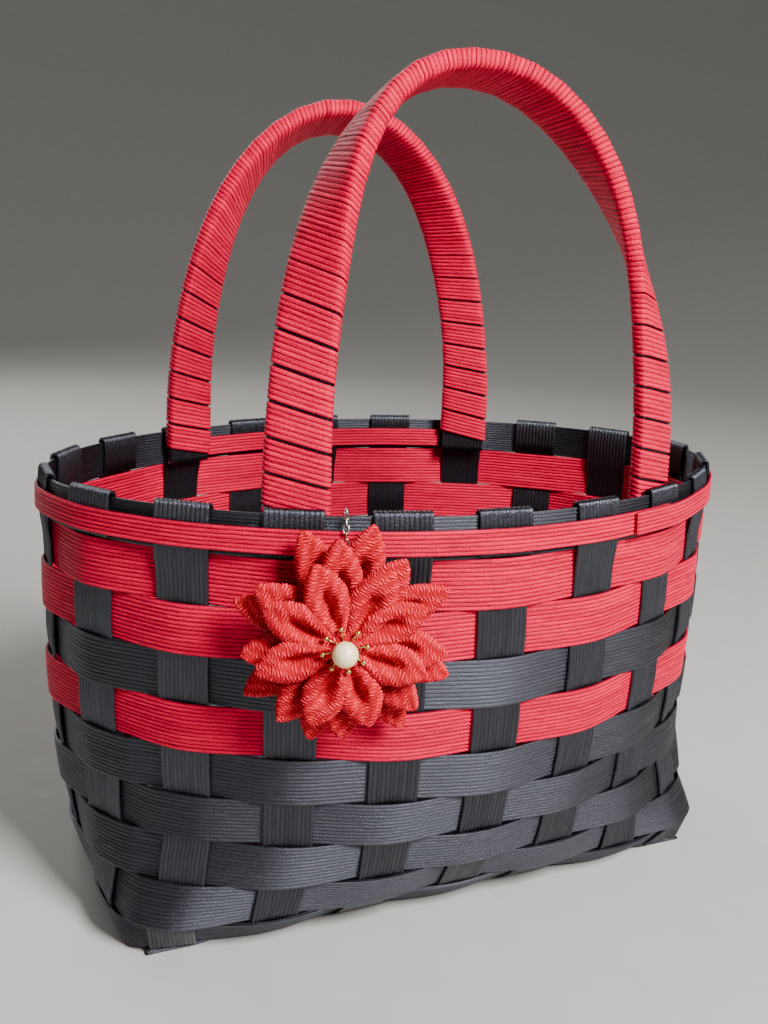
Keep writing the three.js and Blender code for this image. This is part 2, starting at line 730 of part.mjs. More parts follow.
// Jump ring, edge on, through the last link and the eye of the flower's backing
const lastLinkY = curveEndY - (straightLinkCount - 0.5) * linkPitch;
const jumpRingY = lastLinkY - (linkLength / 2 - linkWire) + jumpRingWire / 2 + ringWireGap - jumpRingRadius;
const jumpRing = addPiece('jump_ring', new THREE.TorusGeometry(jumpRingRadius, jumpRingWire / 2, 5, 12),
  material.silver, hanger);
jumpRing.rotation.y = Math.PI / 2;
jumpRing.position.set(0, jumpRingY, chainOut);

// Flower, in its own frame on the backing's middle: x to the right, y up, z towards the viewer
const eyeTopWire = jumpRingY - jumpRingRadius + jumpRingWire / 2 + ringWireGap + eyeWire / 2;
const flower = new THREE.Group();
flower.position.set(0, eyeTopWire - 2 * eyeRadius + eyeSink - backingRadius, chainOut);
hanger.add(flower);

function discGeometry(radius, low, high, sides) {
  const disc = new THREE.CylinderGeometry(radius, radius, high - low, sides);
  disc.rotateX(Math.PI / 2);
  disc.translate(0, 0, (low + high) / 2);
  return disc;
}

const eye = new THREE.TorusGeometry(eyeRadius, eyeWire / 2, 5, 12);
eye.translate(0, backingRadius + eyeRadius - eyeSink, 0);
const backingDisc = discGeometry(backingRadius, -backingThickness / 2, backingThickness / 2, 24);
addPiece('flower_backing', joinAll([backingDisc, eye]), material.crepe, flower);

// A petal: a scoop of folded cloth, narrow at the root, widest past the middle, with a slight point
const petalSteps = 4;
const petalColumns = 2;
const petalRootWidth = 3;
const petalTipWidth = 1.6;

function petalGeometry({ reach, drop }, top) {
  const start = petalHubRadius - petalSink;
  const points = [];
  for (const depth of [0, petalThickness]) {
    for (let i = 0; i <= petalSteps; i += 1) {
      const t = i / petalSteps;
      const swell = Math.sin(Math.PI * t ** 1.15) ** 0.8;
      const half = (petalRootWidth * (1 - t) + petalTipWidth * t + (petalWidth - petalTipWidth) * swell) / 2;
      for (let j = 0; j <= petalColumns; j += 1) {
        const v = (2 * j) / petalColumns - 1;
        const z = top - drop * t + petalCup * swell * v * v - depth;
        points.push(new THREE.Vector3(start + (reach - start) * t, half * v, z));
      }
    }
  }
  const columns = petalColumns + 1;
  const layer = columns * (petalSteps + 1);
  const triangles = [];
  const quad = (a, b, c, d) => triangles.push([a, b, c], [a, c, d]);
  for (let i = 0; i < petalSteps; i += 1) {
    for (let j = 0; j < petalColumns; j += 1) {
      const a = i * columns + j;
      quad(a, a + columns, a + columns + 1, a + 1);
      quad(layer + a, layer + a + 1, layer + a + columns + 1, layer + a + columns);
    }
    const left = i * columns;
    const right = left + petalColumns;
    quad(left, layer + left, layer + left + columns, left + columns);
    quad(right, right + columns, layer + right + columns, layer + right);
  }
  const tip = petalSteps * columns;
  for (let j = 0; j < petalColumns; j += 1) {
    quad(j, j + 1, layer + j + 1, layer + j);
    quad(tip + j, layer + tip + j, layer + tip + j + 1, tip + j + 1);
  }
  return closedGeometry(points, triangles);
}

let stackTop = backingThickness / 2;
for (const ring of petalRings) {
  const low = stackTop + layerGap;
  const high = low + ring.hub;
  const pieces = [discGeometry(petalHubRadius, low, high, 16)];
  for (let i = 0; i < petalCount; i += 1) {
    const petal = petalGeometry(ring, high);
    petal.rotateZ(THREE.MathUtils.degToRad(ring.turn) + (2 * Math.PI * i) / petalCount);
    pieces.push(petal);
  }
  addPiece(ring.name, joinAll(pieces), material.crepe, flower);
  stackTop = high;
}

// Stamens: wires that rise from under the pearl to small beads
const stamenLow = stackTop + layerGap;
const stamenTop = stamenLow + stamenHubThickness;
const stamenPieces = [discGeometry(stamenHubRadius, stamenLow, stamenTop, 12)];
for (let i = 0; i < stamenCount; i += 1) {
  const angle = (2 * Math.PI * (i + 0.25)) / stamenCount;
  const tip = new THREE.Vector3(stamenReach, 0, stamenTop + stamenBead / 2 + layerGap);
  const root = new THREE.Vector3(stamenHubRadius - stamenSink, 0, (stamenLow + stamenTop) / 2);
  const wire = new THREE.CylinderGeometry(stamenWire / 2, stamenWire / 2, root.distanceTo(tip), 4);
  wire.applyQuaternion(new THREE.Quaternion().setFromUnitVectors(
    new THREE.Vector3(0, 1, 0), tip.clone().sub(root).normalize(),
  ));
  wire.translate((root.x + tip.x) / 2, 0, (root.z + tip.z) / 2);
  const bead = new THREE.IcosahedronGeometry(stamenBead / 2, 0);
  bead.translate(tip.x, 0, tip.z);
  for (const piece of [wire, bead]) {
    piece.rotateZ(angle);
    stamenPieces.push(piece);
  }
}
addPiece('stamens', joinAll(stamenPieces), material.gold, flower);

const pearl = addPiece('pearl', new THREE.SphereGeometry(pearlDiameter / 2, 14, 9), material.pearl, flower);
pearl.position.set(0, 0, stamenTop + layerGap + pearlDiameter / 2);

export default bag;
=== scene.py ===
import math
from functools import lru_cache

import bmesh
import bpy
import numpy as np
from mathutils import Matrix, Vector


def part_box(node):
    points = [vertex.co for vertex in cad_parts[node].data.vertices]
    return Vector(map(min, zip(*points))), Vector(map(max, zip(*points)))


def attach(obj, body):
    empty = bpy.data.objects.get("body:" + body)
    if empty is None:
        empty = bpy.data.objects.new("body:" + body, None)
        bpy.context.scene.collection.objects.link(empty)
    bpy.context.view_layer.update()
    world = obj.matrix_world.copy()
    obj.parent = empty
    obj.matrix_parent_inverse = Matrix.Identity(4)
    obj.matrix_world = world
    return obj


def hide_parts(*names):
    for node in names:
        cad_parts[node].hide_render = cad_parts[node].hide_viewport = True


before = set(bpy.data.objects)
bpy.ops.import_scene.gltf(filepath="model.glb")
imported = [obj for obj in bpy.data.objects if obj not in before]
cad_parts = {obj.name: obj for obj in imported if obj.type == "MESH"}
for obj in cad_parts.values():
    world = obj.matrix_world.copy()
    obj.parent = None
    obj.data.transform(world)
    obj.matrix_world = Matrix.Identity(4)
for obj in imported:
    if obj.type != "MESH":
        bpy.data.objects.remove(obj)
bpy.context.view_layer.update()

bl_info = {
    "name": "Plaited basket bag",
    "version": (1, 0, 0),
    "blender": (4, 5, 0),
    "location": "3D View > Sidebar > Basket bag",
    "description": "A basket bag plaited from flat cord bands, with bound handles and a cloth flower",
    "category": "Add Mesh",
}

MM = 0.001

# Sizes of the model in millimetres, angles in radians, and shares of those, as the part was laid out
BAND_WIDTH = 15.2
WIDE_PLIES = 12
NARROW_PLIES = 6
BAND_THICKNESS = 1.1
NARROW_WIDTH = 7.7
WRAP_BAND_WIDTH = 9.2
LAYER_GAP = 0.3
EDGE_GAP = 0.3
ROW_GAP = 0.93
BASE_LENGTH = 223.4
CROSS_STAKES = 7
SIDE_STAKES = 3
CORNER_SQUARENESS = 16
BEND_RADIUS = 2.5
OUTER_FILLER_INSET = 7
STAKE_SPREAD = 0.13
HOOK_SPREAD = 0.17
ROWS = 9
FOOT_LEAN = 0.998
RIM_LEAN = -0.098
LEAN_FADE = 48.9
END_FLARE_SHARE = 0.46
OVAL_SQUARENESS = 1.86
SQUARENESS_FADE = 11.5
FLAT_MARGIN = 1.1
FRONT_DRIFT = -3.3
DRIFT_REACH = 2
RIM_RING_WIDTH = 12.9
RIM_BAND_DROP = 3.8
RIM_BAND_START = 1.42
RIM_BAND_LAP = 20
RIM_BAND_STEP = 0.3
RED_ROWS = (1, 2, 4)
HANDLE_STAKE = 2
HANDLE_FOOT_DEPTH = 12.4
HANDLE_STRAIGHT = 4
TWIST_START = 27
TWIST_LENGTH = 116
STRAP_WIDTH = 15.8
STRAP_THICKNESS = 2
FOOT_FLARE = 0.08
FLARE_LENGTH = 40
ARCH_SWELL = 1.8
SWELL_START = 50
SWELL_LENGTH = 60
WRAP_CLEARANCE = 0.75
OPEN_PITCH = 10.2
TIGHT_PITCH = 9.9
OPEN_WRAP_LENGTH = 80
HANDLE_SHAPES = (
    {"side": "front", "turn": 0, "height": 130.3, "roundness": 2.2, "lean": 23.5, "top_twist": -0.23},
    {"side": "back", "turn": 1, "height": 125.7, "roundness": 2.07, "lean": 0, "top_twist": 0.45},
)
CHAIN_PLACE = -1.54
LINKS = 14
FIXED_LINKS = 4
LINK_LENGTH = 3.1
LINK_WIDTH = 1.9
LINK_WIRE = 0.42
JUMP_RING_RADIUS = 1.35
JUMP_RING_WIRE = 0.5
EYE_RADIUS = 1.4
EYE_WIRE = 0.6
EYE_SINK = 0.4
BACKING_RADIUS = 11
# A round disc with a post in its middle that the rings of petals sit on, as radius and height
BACKING_SECTION = (
    (0, -0.6), (9.6, -0.6), (10.7, -0.35), (BACKING_RADIUS, 0), (10.7, 0.35), (9.6, 0.6), (4.9, 0.8),
    (4.6, 15), (3.2, 15.4), (0, 15.4),
)
STAMENS = 8
STAMEN_TURN = 0.25
STAMEN_HEIGHT = 15.1
STAMEN_HUB = 2.4
STAMEN_HUB_TOP = 2
STAMEN_HUB_DEPTH = 0.6
STAMEN_ROOT = 1.8
STAMEN_REACH = 6.4
STAMEN_RISE = 1.55
STAMEN_WIRE = 0.25
STAMEN_WIRE_TIP = 0.2
STAMEN_BEAD = 0.8
PEARL_RADIUS = 3.75
PEARL_HEIGHT = 19.75
# The way each petal points, in degrees, is the photographed flower's
PETAL_RINGS = (
    {"name": "outer_petals", "reach": 34, "top": 3.4, "drop": -0.2,
     "turns": (25, 77, 113, 163, 214, 252, 302, 337)},
    {"name": "middle_petals", "reach": 30.4, "top": 9.1, "drop": 0.4,
     "turns": (55, 95, 147, 189, 234, 270, 317, 353)},
    {"name": "inner_petals", "reach": 25.8, "top": 14.8, "drop": 1.1,
     "turns": (29, 61, 111, 155, 196, 250, 288, 340)},
)
# Where the petals' random draws start, and how far one petal differs from the next: in length, in
# roll, and in millimetres at its tip
PETAL_SEED = 5
REACH_SPREAD = 0.015
ROLL_SPREAD = 0.08
TIP_LIFT = 0.3
TIP_SWAY = 0.5

# The form of a petal. Places along it run from 0 at the root to 1 at the tip, and places across it
# from 0 at the fold to 1 at the edge
PETAL_COLUMNS = 27
LEAF_BIAS = 1.12
LEAF_FULLNESS = 0.74
NECK_END = 0.3
ROOT_END = 0.4
TIP_WIDTH = 0.5
TIP_START = 0.93
LEAST_SHARE = 0.3
RIM_RISES = (0.02, 0.35)
RIM_FALLS = (0.75, 1)
RIM_DROOP = 0.35
RIM_CREST = 0.48
RIM_BULGE = 2.4
RIM_ROUNDNESS = 0.62
HOLLOW_OPENS = (0.12, 0.38)
HOLLOW_CLOSES = (0.52, 0.74)
# Where the hollow's painted shade starts across the petal, and how much it darkens the colour
HOLLOW_FLOOR = 0.15
HOLLOW_SHADE = 0.2
CREASE_END = 0.03
CREASE_HEIGHT = 0.9
PIT_POWER = 0.8
EDGE_HEIGHT = 0.02
EDGE_DEPTH = 0.05
KEEL_LEAST = 0.7
KEEL_BULGE = 2.2
# Slow wavers that bend the crinkles: how far, their lengths across and along, and which random start
CRINKLE_WAVERS = ((0.32, 4.1, 13, 0), (0.22, 2.3, -6, 1), (0.12, 1.2, 3.1, 4))
CRINKLE_FADE = (0.18, 3.7, 5.3, 3)
CRINKLE_SWEEP = 0.6
CRINKLE_BREADTH = 0.8
CRINKLES_FULL = 0.12
CRINKLES_TURN = 0.72
PETAL_UV_ACROSS = 0.6
PETAL_UV_ALONG = 0.2

# The camera, solved from the stakes and rows in the photograph: its focal length in the photograph's
# pixels, its turn as a rotation vector, and its place in millimetres
PHOTO_WIDTH = 768
FOCAL_LENGTH = 1074.77545
CAMERA_TURN = (1.79452570, -0.338642521, 0.319862706)
CAMERA_PLACE = (-162.835348, -361.578917, 227.945266)
SENSOR_WIDTH = 36

# The studio, in metres
LIT_PLACE = (0, -0.03, 0.12)
LIGHTS = {
    "key": {"place": (0.34, -0.98, 0.95), "size": 0.42, "colour": (1, 0.98, 0.98)},
    "fill": {"place": (-0.9, -0.9, 0.5), "size": 0.9, "colour": (0.86, 0.92, 1)},
    "back": {"place": (-0.3, 1.1, 0.9), "size": 0.9, "colour": (1, 1, 1)},
}
SWEEP_RADIUS = 1.5
SWEEP_CURVE = 2.2
SWEEP_HEIGHT = 4
FLOOR_STEPS = 4
SWEEP_STEPS = 24

# How finely curves are drawn
OUTLINE_POINTS = 721
ARCH_STEPS = 20
STRAP_STEPS = 24
CORE_STATIONS = 90
WIRE_STEPS = 28
WIRE_SIDES = 8
WIRE_UV_STEP = 0.1
BACKING_STEPS = 48
SWEEP_SIDES = 72
STAMEN_SIDES = 8
HUB_SIDES = 24
BEAD_FINENESS = 3
PEARL_SIDES = 48
PEARL_RINGS = 32
MERGE_DISTANCE = 1e-5
SEAM_DISTANCE = 1e-7
# Less than any real distance, in millimetres or in stake pitches
TINY = 1e-6

LAYER_STEP = BAND_THICKNESS + LAYER_GAP
HALF_THICKNESS = BAND_THICKNESS / 2
HALF_BAND = BAND_WIDTH / 2
HALF_FLAT = HALF_BAND + FLAT_MARGIN
ROW_PITCH = BAND_WIDTH + ROW_GAP
STAKES = 2 * (CROSS_STAKES + SIDE_STAKES)
QUARTER = STAKES // 4
STRIPS = 2 * SIDE_STAKES + 1
STRIP_PITCH = BAND_WIDTH + EDGE_GAP
BASE_DEPTH = STRIPS * STRIP_PITCH - EDGE_GAP + 2 * (HALF_THICKNESS + LAYER_GAP)
BASE_MIDDLE = HALF_THICKNESS + LAYER_STEP
RIM_LEVEL = ROWS + 1
RIM_STEP = RIM_RING_WIDTH + ROW_GAP / 2
RING_LOW = ROWS + ROW_GAP / 2 / RIM_STEP
UP = np.array((0.0, 0.0, 1.0))
FRONT = np.array((0.0, -1.0, 0.0))


def unit(v):
    return v / np.linalg.norm(v)


def level_height(level):
    """Length of wall from the base up to a level between rows, measured along the slope."""
    return min(level, ROWS) * ROW_PITCH + max(level - ROWS, 0) * RIM_STEP


def wall_step(row):
    """How far one row of wall goes out and up."""
    step = level_height(row + 1) - level_height(row)
    lean = RIM_LEAN + (FOOT_LEAN - RIM_LEAN) * math.exp(-(level_height(row) + step / 2) / LEAN_FADE)
    return np.array((step * math.sin(lean), step * math.cos(lean)))


@lru_cache(maxsize=None)
def plan(level):
    """Outline of the wall seen from above at a level: a superellipse, its running length and its height."""
    out, rise = sum((wall_step(row) for row in range(level)), np.zeros(2))
    fade = math.exp(-level_height(level) / SQUARENESS_FADE)
    power = 2 / (OVAL_SQUARENESS + (CORNER_SQUARENESS - OVAL_SQUARENESS) * fade)
    angle = np.linspace(-math.pi / 2, 1.5 * math.pi, OUTLINE_POINTS)
    c, s = np.cos(angle), np.sin(angle)
    x = (BASE_LENGTH / 2 + out * END_FLARE_SHARE) * np.sign(c) * np.abs(c) ** power
    y = (BASE_DEPTH / 2 + out) * np.sign(s) * np.abs(s) ** power
    length = np.concatenate(([0], np.cumsum(np.hypot(np.diff(x), np.diff(y)))))
    return x, y, length, BASE_MIDDLE + rise


def level_point(level, turn):
    """Point of the wall at a whole level, a share of the way round from the front centre."""
    x, y, length, z = plan(level)
    share = abs(turn - math.floor(turn + 0.5)) * STAKES / DRIFT_REACH
    drift = FRONT_DRIFT * level / ROWS * math.cos(math.pi / 2 * share) ** 2 if share < 1 else 0
    along = (turn + drift / length[-1]) % 1 * length[-1]
    return np.array((np.interp(along, length, x), np.interp(along, length, y), z))


@lru_cache(maxsize=None)
def level_frame(level, turn, half_span):
    """Flat patch of the wall at a whole level: its middle, its direction along the row and outwards."""

    def ends(at):
        share = half_span / plan(at)[2][-1]
        return level_point(at, turn - share), level_point(at, turn + share)

    first, last = ends(level)
    centre, along = (first + last) / 2, unit(last - first)
    outs = []
    if level > 0:
        outs.append(unit(np.cross(along, centre - sum(ends(level - 1)) / 2)))
    if level < RIM_LEVEL:
        outs.append(unit(np.cross(along, sum(ends(level + 1)) / 2 - centre)))
    out = unit(sum(outs))
    return centre, along, out / (out @ outs[0])


def wall_frame(level, turn, half_span=HALF_BAND):
    """The same patch at any height, straight between two levels as a stiff band is."""
    low = min(math.floor(level), RIM_LEVEL - 1)
    here, there = (level_frame(low + i, round(turn, 7), half_span) for i in (0, 1))
    return [a + (b - a) * (level - low) for a, b in zip(here, there)]


def is_outside(stake, row):
    return (stake + row) % 2 == 0


def row_station(low_level, high_level, turn, half_span, sideways, offset):
    """One place along a band that runs round the wall: its two edges and their outward directions."""
    station = []
    for level in (low_level, high_level):
        centre, along, out = wall_frame(level, turn, half_span)
        station += [centre + along * sideways + out * offset, out]
    return station


def cross_station(centre, along, out, half=HALF_BAND):
    """One place along a band that climbs the wall or crosses the base."""
    return [centre - along * half, out, centre + along * half, out]


def smoothstep(x, low, high):
    t = np.clip((x - low) / (high - low), 0, 1)
    return t * t * (3 - 2 * t)


def smooth(rows, steps, closed=False):
    """Rows of numbers on a centripetal curve through the given rows, which may be lists of points."""
    p = np.asarray(rows, float).reshape(len(rows), -1)
    p = np.vstack((p[-1:], p, p[:2]) if closed else (2 * p[:1] - p[1:2], p, 2 * p[-1:] - p[-2:-1]))
    places = p[:, :3] + (p[:, 6:9] if p.shape[1] > 6 else 0)
    gap = np.maximum(np.linalg.norm(np.diff(places, axis=0), axis=1), TINY)[:, None] ** 0.5
    a, b, c = gap[:-2], gap[1:-1], gap[2:]
    p0, p1, p2, p3 = p[:-3], p[1:-2], p[2:-1], p[3:]
    m1 = ((p1 - p0) / a - (p2 - p0) / (a + b) + (p2 - p1) / b) * b
    m2 = ((p2 - p1) / b - (p3 - p1) / (b + c) + (p3 - p2) / c) * b
    t = np.linspace(0, 1, steps, endpoint=False)[None, :, None]
    p1, p2, m1, m2 = (q[:, None, :] for q in (p1, p2, m1, m2))
    curve = p1 + m1 * t + (3 * (p2 - p1) - 2 * m1 - m2) * t**2 + (2 * (p1 - p2) + m1 + m2) * t**3
    curve = curve.reshape(-1, p.shape[1])
    return curve if closed else np.vstack((curve, p[-2]))


def new_piece(name, bm, mesh=None):
    """A smooth object from a finished bmesh."""
    for face in bm.faces:
        face.smooth = True
    mesh = mesh or bpy.data.meshes.new(name)
    bm.to_mesh(mesh)
    bm.free()
    piece = bpy.data.objects.new(name, mesh)
    bpy.context.scene.collection.objects.link(piece)
    return piece


def skin(name, points, across, along, closed=False, creased=(), drawing_marks_and_painted_light=None):
    """A tube over rows of points that go round a section: a flat grid that is rolled up and closed."""
    rows, columns = len(points), points.shape[1]
    bm = bmesh.new()
    bmesh.ops.create_grid(bm, x_segments=columns, y_segments=rows if closed else rows - 1, size=1)
    mesh = bpy.data.meshes.new(name)
    bm.to_mesh(mesh)
    bm.free()
    wrap = np.concatenate((points, points[:, :1]), axis=1)
    if closed:
        wrap = np.concatenate((wrap, wrap[:1]), axis=0)
    mesh.vertices.foreach_set("co", (wrap * MM).astype(np.float32).ravel())
    index = np.empty(len(mesh.loops), np.int32)
    mesh.loops.foreach_get("vertex_index", index)
    column, row = index % (columns + 1), index // (columns + 1)
    places = np.stack((np.append(across, across[0])[column], np.asarray(along)[row]), axis=1)
    mesh.uv_layers.new(name="UVMap").data.foreach_set("uv", places.astype(np.float32).ravel())
    # Painted light for each point: crest highlight and hollow shade, read by the material as colour
    if drawing_marks_and_painted_light is not None:
        drawing_marks_and_painted_light = np.concatenate((drawing_marks_and_painted_light, drawing_marks_and_painted_light[:, :1]), axis=1)
        layer = mesh.attributes.new("ridge", "FLOAT", "POINT")
        layer.data.foreach_set("value", drawing_marks_and_painted_light.astype(np.float32).ravel())
    bm = bmesh.new()
    bm.from_mesh(mesh)
    bm.verts.ensure_lookup_table()
    for edge in bm.edges:
        a, b = (v.index % (columns + 1) for v in edge.verts)
        edge.smooth = not (a == b and a in creased)
    spots = [divmod(v.index, columns + 1) for v in bm.verts]
    seam = [v for v, (r, c) in zip(bm.verts, spots) if c in (0, columns) or closed and r in (0, rows)]
    bmesh.ops.remove_doubles(bm, verts=seam, dist=SEAM_DISTANCE)
    ends = [edge for edge in bm.edges if edge.is_boundary]
    if ends:
        bmesh.ops.holes_fill(bm, edges=ends, sides=0)
    bmesh.ops.recalc_face_normals(bm, faces=bm.faces)
    return new_piece(name, bm, mesh)


def dress(piece, body, slot, *nodes):
    """Give a piece its material, its body and the nodes that it stands for."""
    piece.data.materials.clear()
    piece.data.materials.append(material_of(slot))
    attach(piece, body)
    if nodes:
        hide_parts(*nodes)
    return piece


def band(name, stations, plies, closed=False, steps=5, crown=0.0, half_thickness=HALF_THICKNESS):
    """A flat band of cords glued side by side, laid through stations of two edges each."""
    cords = bpy.context.scene.bag_bands
    curve = smooth(stations, steps, closed).reshape(-1, 4, 3)
    low, low_out, high, high_out = (curve[:, i][:, None, :] for i in range(4))
    per = cords.ply_steps
    count = plies * per
    place = np.arange(count + 1) / count
    # Each cord is a low arch, and a groove is where two arches meet
    sunk = 1 - np.sqrt(1 - (2 * (np.arange(count + 1) % per) / per - 1) ** 2)
    lift = half_thickness - cords.groove_depth / MM * sunk
    share = np.concatenate((place, place[::-1]))[None, :, None]
    thick = np.concatenate((lift, -lift[::-1]))[None, :, None] + crown * (1 - (2 * share - 1) ** 2)
    points = low + (high - low) * share + (low_out + (high_out - low_out) * share) * thick
    middle = (curve[:, 0] + curve[:, 2]) / 2
    run = np.concatenate(([0], np.cumsum(np.linalg.norm(np.diff(middle, axis=0), axis=1))))
    if closed:
        run = np.append(run, run[-1] + np.linalg.norm(middle[0] - middle[-1]))
    creased = {i for i in range(2 * count + 3) if (i if i <= count else 2 * count + 1 - i) % per == 0}
    across = share.ravel() * plies * cords.ply_width / MM
    return skin(name, points, across, run, closed, creased)


# The stakes

HOOK_STEPS = 4
# How far a row bows outwards across its width
ROW_CROWN = 0.15
# Above this level the wall is round enough to need no more stations at its corners
SHARP_LEVELS = 5
SIDE_RUN_EASE = 2
# Places across a stake where the band that crosses it is laid flat, with the turns outside them
FLAT_PLACES = (-HALF_FLAT, -0.6 * HALF_FLAT, 0.6 * HALF_FLAT, HALF_FLAT)
ROW_PLACE = 0.55 * HALF_FLAT
# Places of a row's extra stations on its way round a corner of the foot
CORNER_SHARES = (0.25, 0.5, 0.75)
# A strip that dips under a stake is held off the floor, since its curve swings a little past its places
FLOOR_EASE = 0.12


def stake_end(stake):
    """Stations of one end of a stake from the base up: over the rim ring and down its other face."""
    turn = stake / STAKES
    ripple = bpy.context.scene.bag_bands.ripple / MM
    side = 1 if is_outside(stake, 1) else -1
    stations = []
    for step in range(2 * ROWS):
        level = step / 2
        sign = 0 if step % 2 == 0 else (1 if is_outside(stake, ROWS - step // 2) else -1)
        centre, along, out = wall_frame(level, turn)
        stations.append((centre + out * ripple * sign, along * (1 + STAKE_SPREAD * level / ROWS), out))
    spread = 1 + HOOK_SPREAD
    centre, along, out = wall_frame(ROWS, turn)
    stations.append((centre + out * side * LAYER_STEP, along * spread, out))
    centre, along, out = wall_frame(RIM_LEVEL, turn)
    for step in range(HOOK_STEPS + 1):
        swing = math.pi * step / HOOK_STEPS
        turned = out * math.cos(swing) + UP * side * math.sin(swing)
        lift = out * side * LAYER_STEP * math.cos(swing) + UP * LAYER_STEP * math.sin(swing)
        stations.append((centre + lift, along * spread, turned))
    centre, along, out = wall_frame(RING_LOW + EDGE_GAP / RIM_STEP, turn)
    stations.append((centre - out * side * LAYER_STEP, along * spread, -out))
    return stations


def base_bend(first):
    centre, along, out = first
    inwards = unit(-np.cross(along, UP))
    return [(centre + inwards * BEND_RADIUS, along, -UP), (centre, along, unit(out - UP))]


def flipped(stations):
    return [(centre, -along, out) for centre, along, out in stations]


def cross_stake_stations(stake):
    ends = []
    for one in (stake, 2 * QUARTER - stake):
        stations = stake_end(one)
        ends.append(base_bend(stations[0]) + stations[1:])
    return ends[0][::-1] + flipped(ends[1])


@lru_cache(maxsize=None)
def cross_places():
    half = (CROSS_STAKES - 1) // 2
    return [level_frame(0, round((i - half) / STAKES, 7), HALF_BAND)[0][0] for i in range(CROSS_STAKES)]


def strip_run(strip, reach, along, out):
    """Stations of a strip that lies along the base, over one cross stake and under the next."""
    half = (CROSS_STAKES - 1) // 2
    spots = [(-reach, 0)]
    for i, x in enumerate(cross_places()):
        height = FLOOR_EASE - LAYER_STEP if (strip + i - half) % 2 == 0 else LAYER_STEP
        spots += [(x + sideways, height) for sideways in FLAT_PLACES]
    spots.append((reach, 0))
    return [(np.array((x, strip * STRIP_PITCH, BASE_MIDDLE + height)), along, out) for x, height in spots]


def side_stake_stations(index):
    right, left = stake_end(QUARTER + index), stake_end(3 * QUARTER - index)
    run = strip_run(2 * index, BASE_LENGTH / 2 - BEND_RADIUS - SIDE_RUN_EASE, FRONT, -UP)
    left = [base_bend(left[0])[1]] + left[1:]
    right = [base_bend(right[0])[1]] + right[1:]
    return left[::-1] + run + flipped(right)


def filler_stations(strip):
    inset = OUTER_FILLER_INSET if abs(strip) == SIDE_STAKES else 0
    reach = BASE_LENGTH / 2 - LAYER_STEP - HALF_THICKNESS - LAYER_GAP - inset
    return strip_run(strip, reach, -FRONT, UP)


# Rows, rim and narrow bands


def weaver_stations(row):
    """One woven row: outside one stake and inside the next, round the whole wall."""
    bands = bpy.context.scene.bag_bands
    depth = bands.weave_depth / MM
    ease = bands.row_gap / MM / 2 / ROW_PITCH
    low_level, high_level = ROWS - row + ease, ROWS - row + 1 - ease
    corner = (CROSS_STAKES - 1) // 2
    sharp = (corner, 2 * QUARTER - corner - 1, 2 * QUARTER + corner, STAKES - corner - 1)
    stations = []
    for stake in range(STAKES):
        offset = -depth if is_outside(stake, row) else depth
        for sideways in (-ROW_PLACE, ROW_PLACE):
            stations.append(row_station(low_level, high_level, stake / STAKES, HALF_BAND, sideways, offset))
        if stake in sharp and low_level <= SHARP_LEVELS:
            margin = HALF_FLAT / plan(round(low_level))[2][-1]
            start, end = stake / STAKES + margin, (stake + 1) / STAKES - margin
            for share in CORNER_SHARES:
                sway = offset * math.cos(math.pi * share)
                turn = start + (end - start) * share
                stations.append(row_station(low_level, high_level, turn, 1, 0, sway))
    return stations


def rim_ring_stations():
    low = ROWS + bpy.context.scene.bag_bands.row_gap / MM / 2 / RIM_STEP
    return [row_station(low, RIM_LEVEL, stake / STAKES, HALF_BAND, sideways, 0)
            for stake in range(STAKES) for sideways in FLAT_PLACES[::3]]


RIM_PITCH = plan(RIM_LEVEL)[2][-1] / STAKES
NARROW_FLAT = 0.7 * HALF_FLAT
# The least distance, in stake pitches, from the end of a narrow band to its next station
END_CLEARANCE = 0.1


def narrow_stations(start, end, offset_at):
    """A narrow band along the rim, a little below its top, between two places in stake pitches."""
    high = RIM_LEVEL - RIM_BAND_DROP / RIM_STEP
    low = high - NARROW_WIDTH / RIM_STEP
    flat = NARROW_FLAT / RIM_PITCH
    stakes = range(math.floor(start), math.ceil(end) + 1)
    places = sorted(stake + sign * flat for stake in stakes for sign in (-1, 1))
    places = [start] + [p for p in places if start + END_CLEARANCE < p < end - END_CLEARANCE] + [end]
    stations = []
    for place in places:
        stake = math.floor(place + 0.5)
        if abs(place - stake) <= flat + TINY:
            spot = (stake / STAKES, HALF_BAND, (place - stake) * RIM_PITCH)
        else:
            spot = (place / STAKES, 1, 0)
        stations.append(row_station(low, high, *spot, offset_at(place)))
    return stations


# Handles

STRAP_HALF_DEPTH = STRAP_THICKNESS / 2 + WRAP_CLEARANCE + BAND_THICKNESS
FOOT_OFFSET = -(LAYER_STEP + HALF_THICKNESS + LAYER_GAP + STRAP_HALF_DEPTH)
# Half the distance over which the handle's direction is taken
PROBE = 0.5


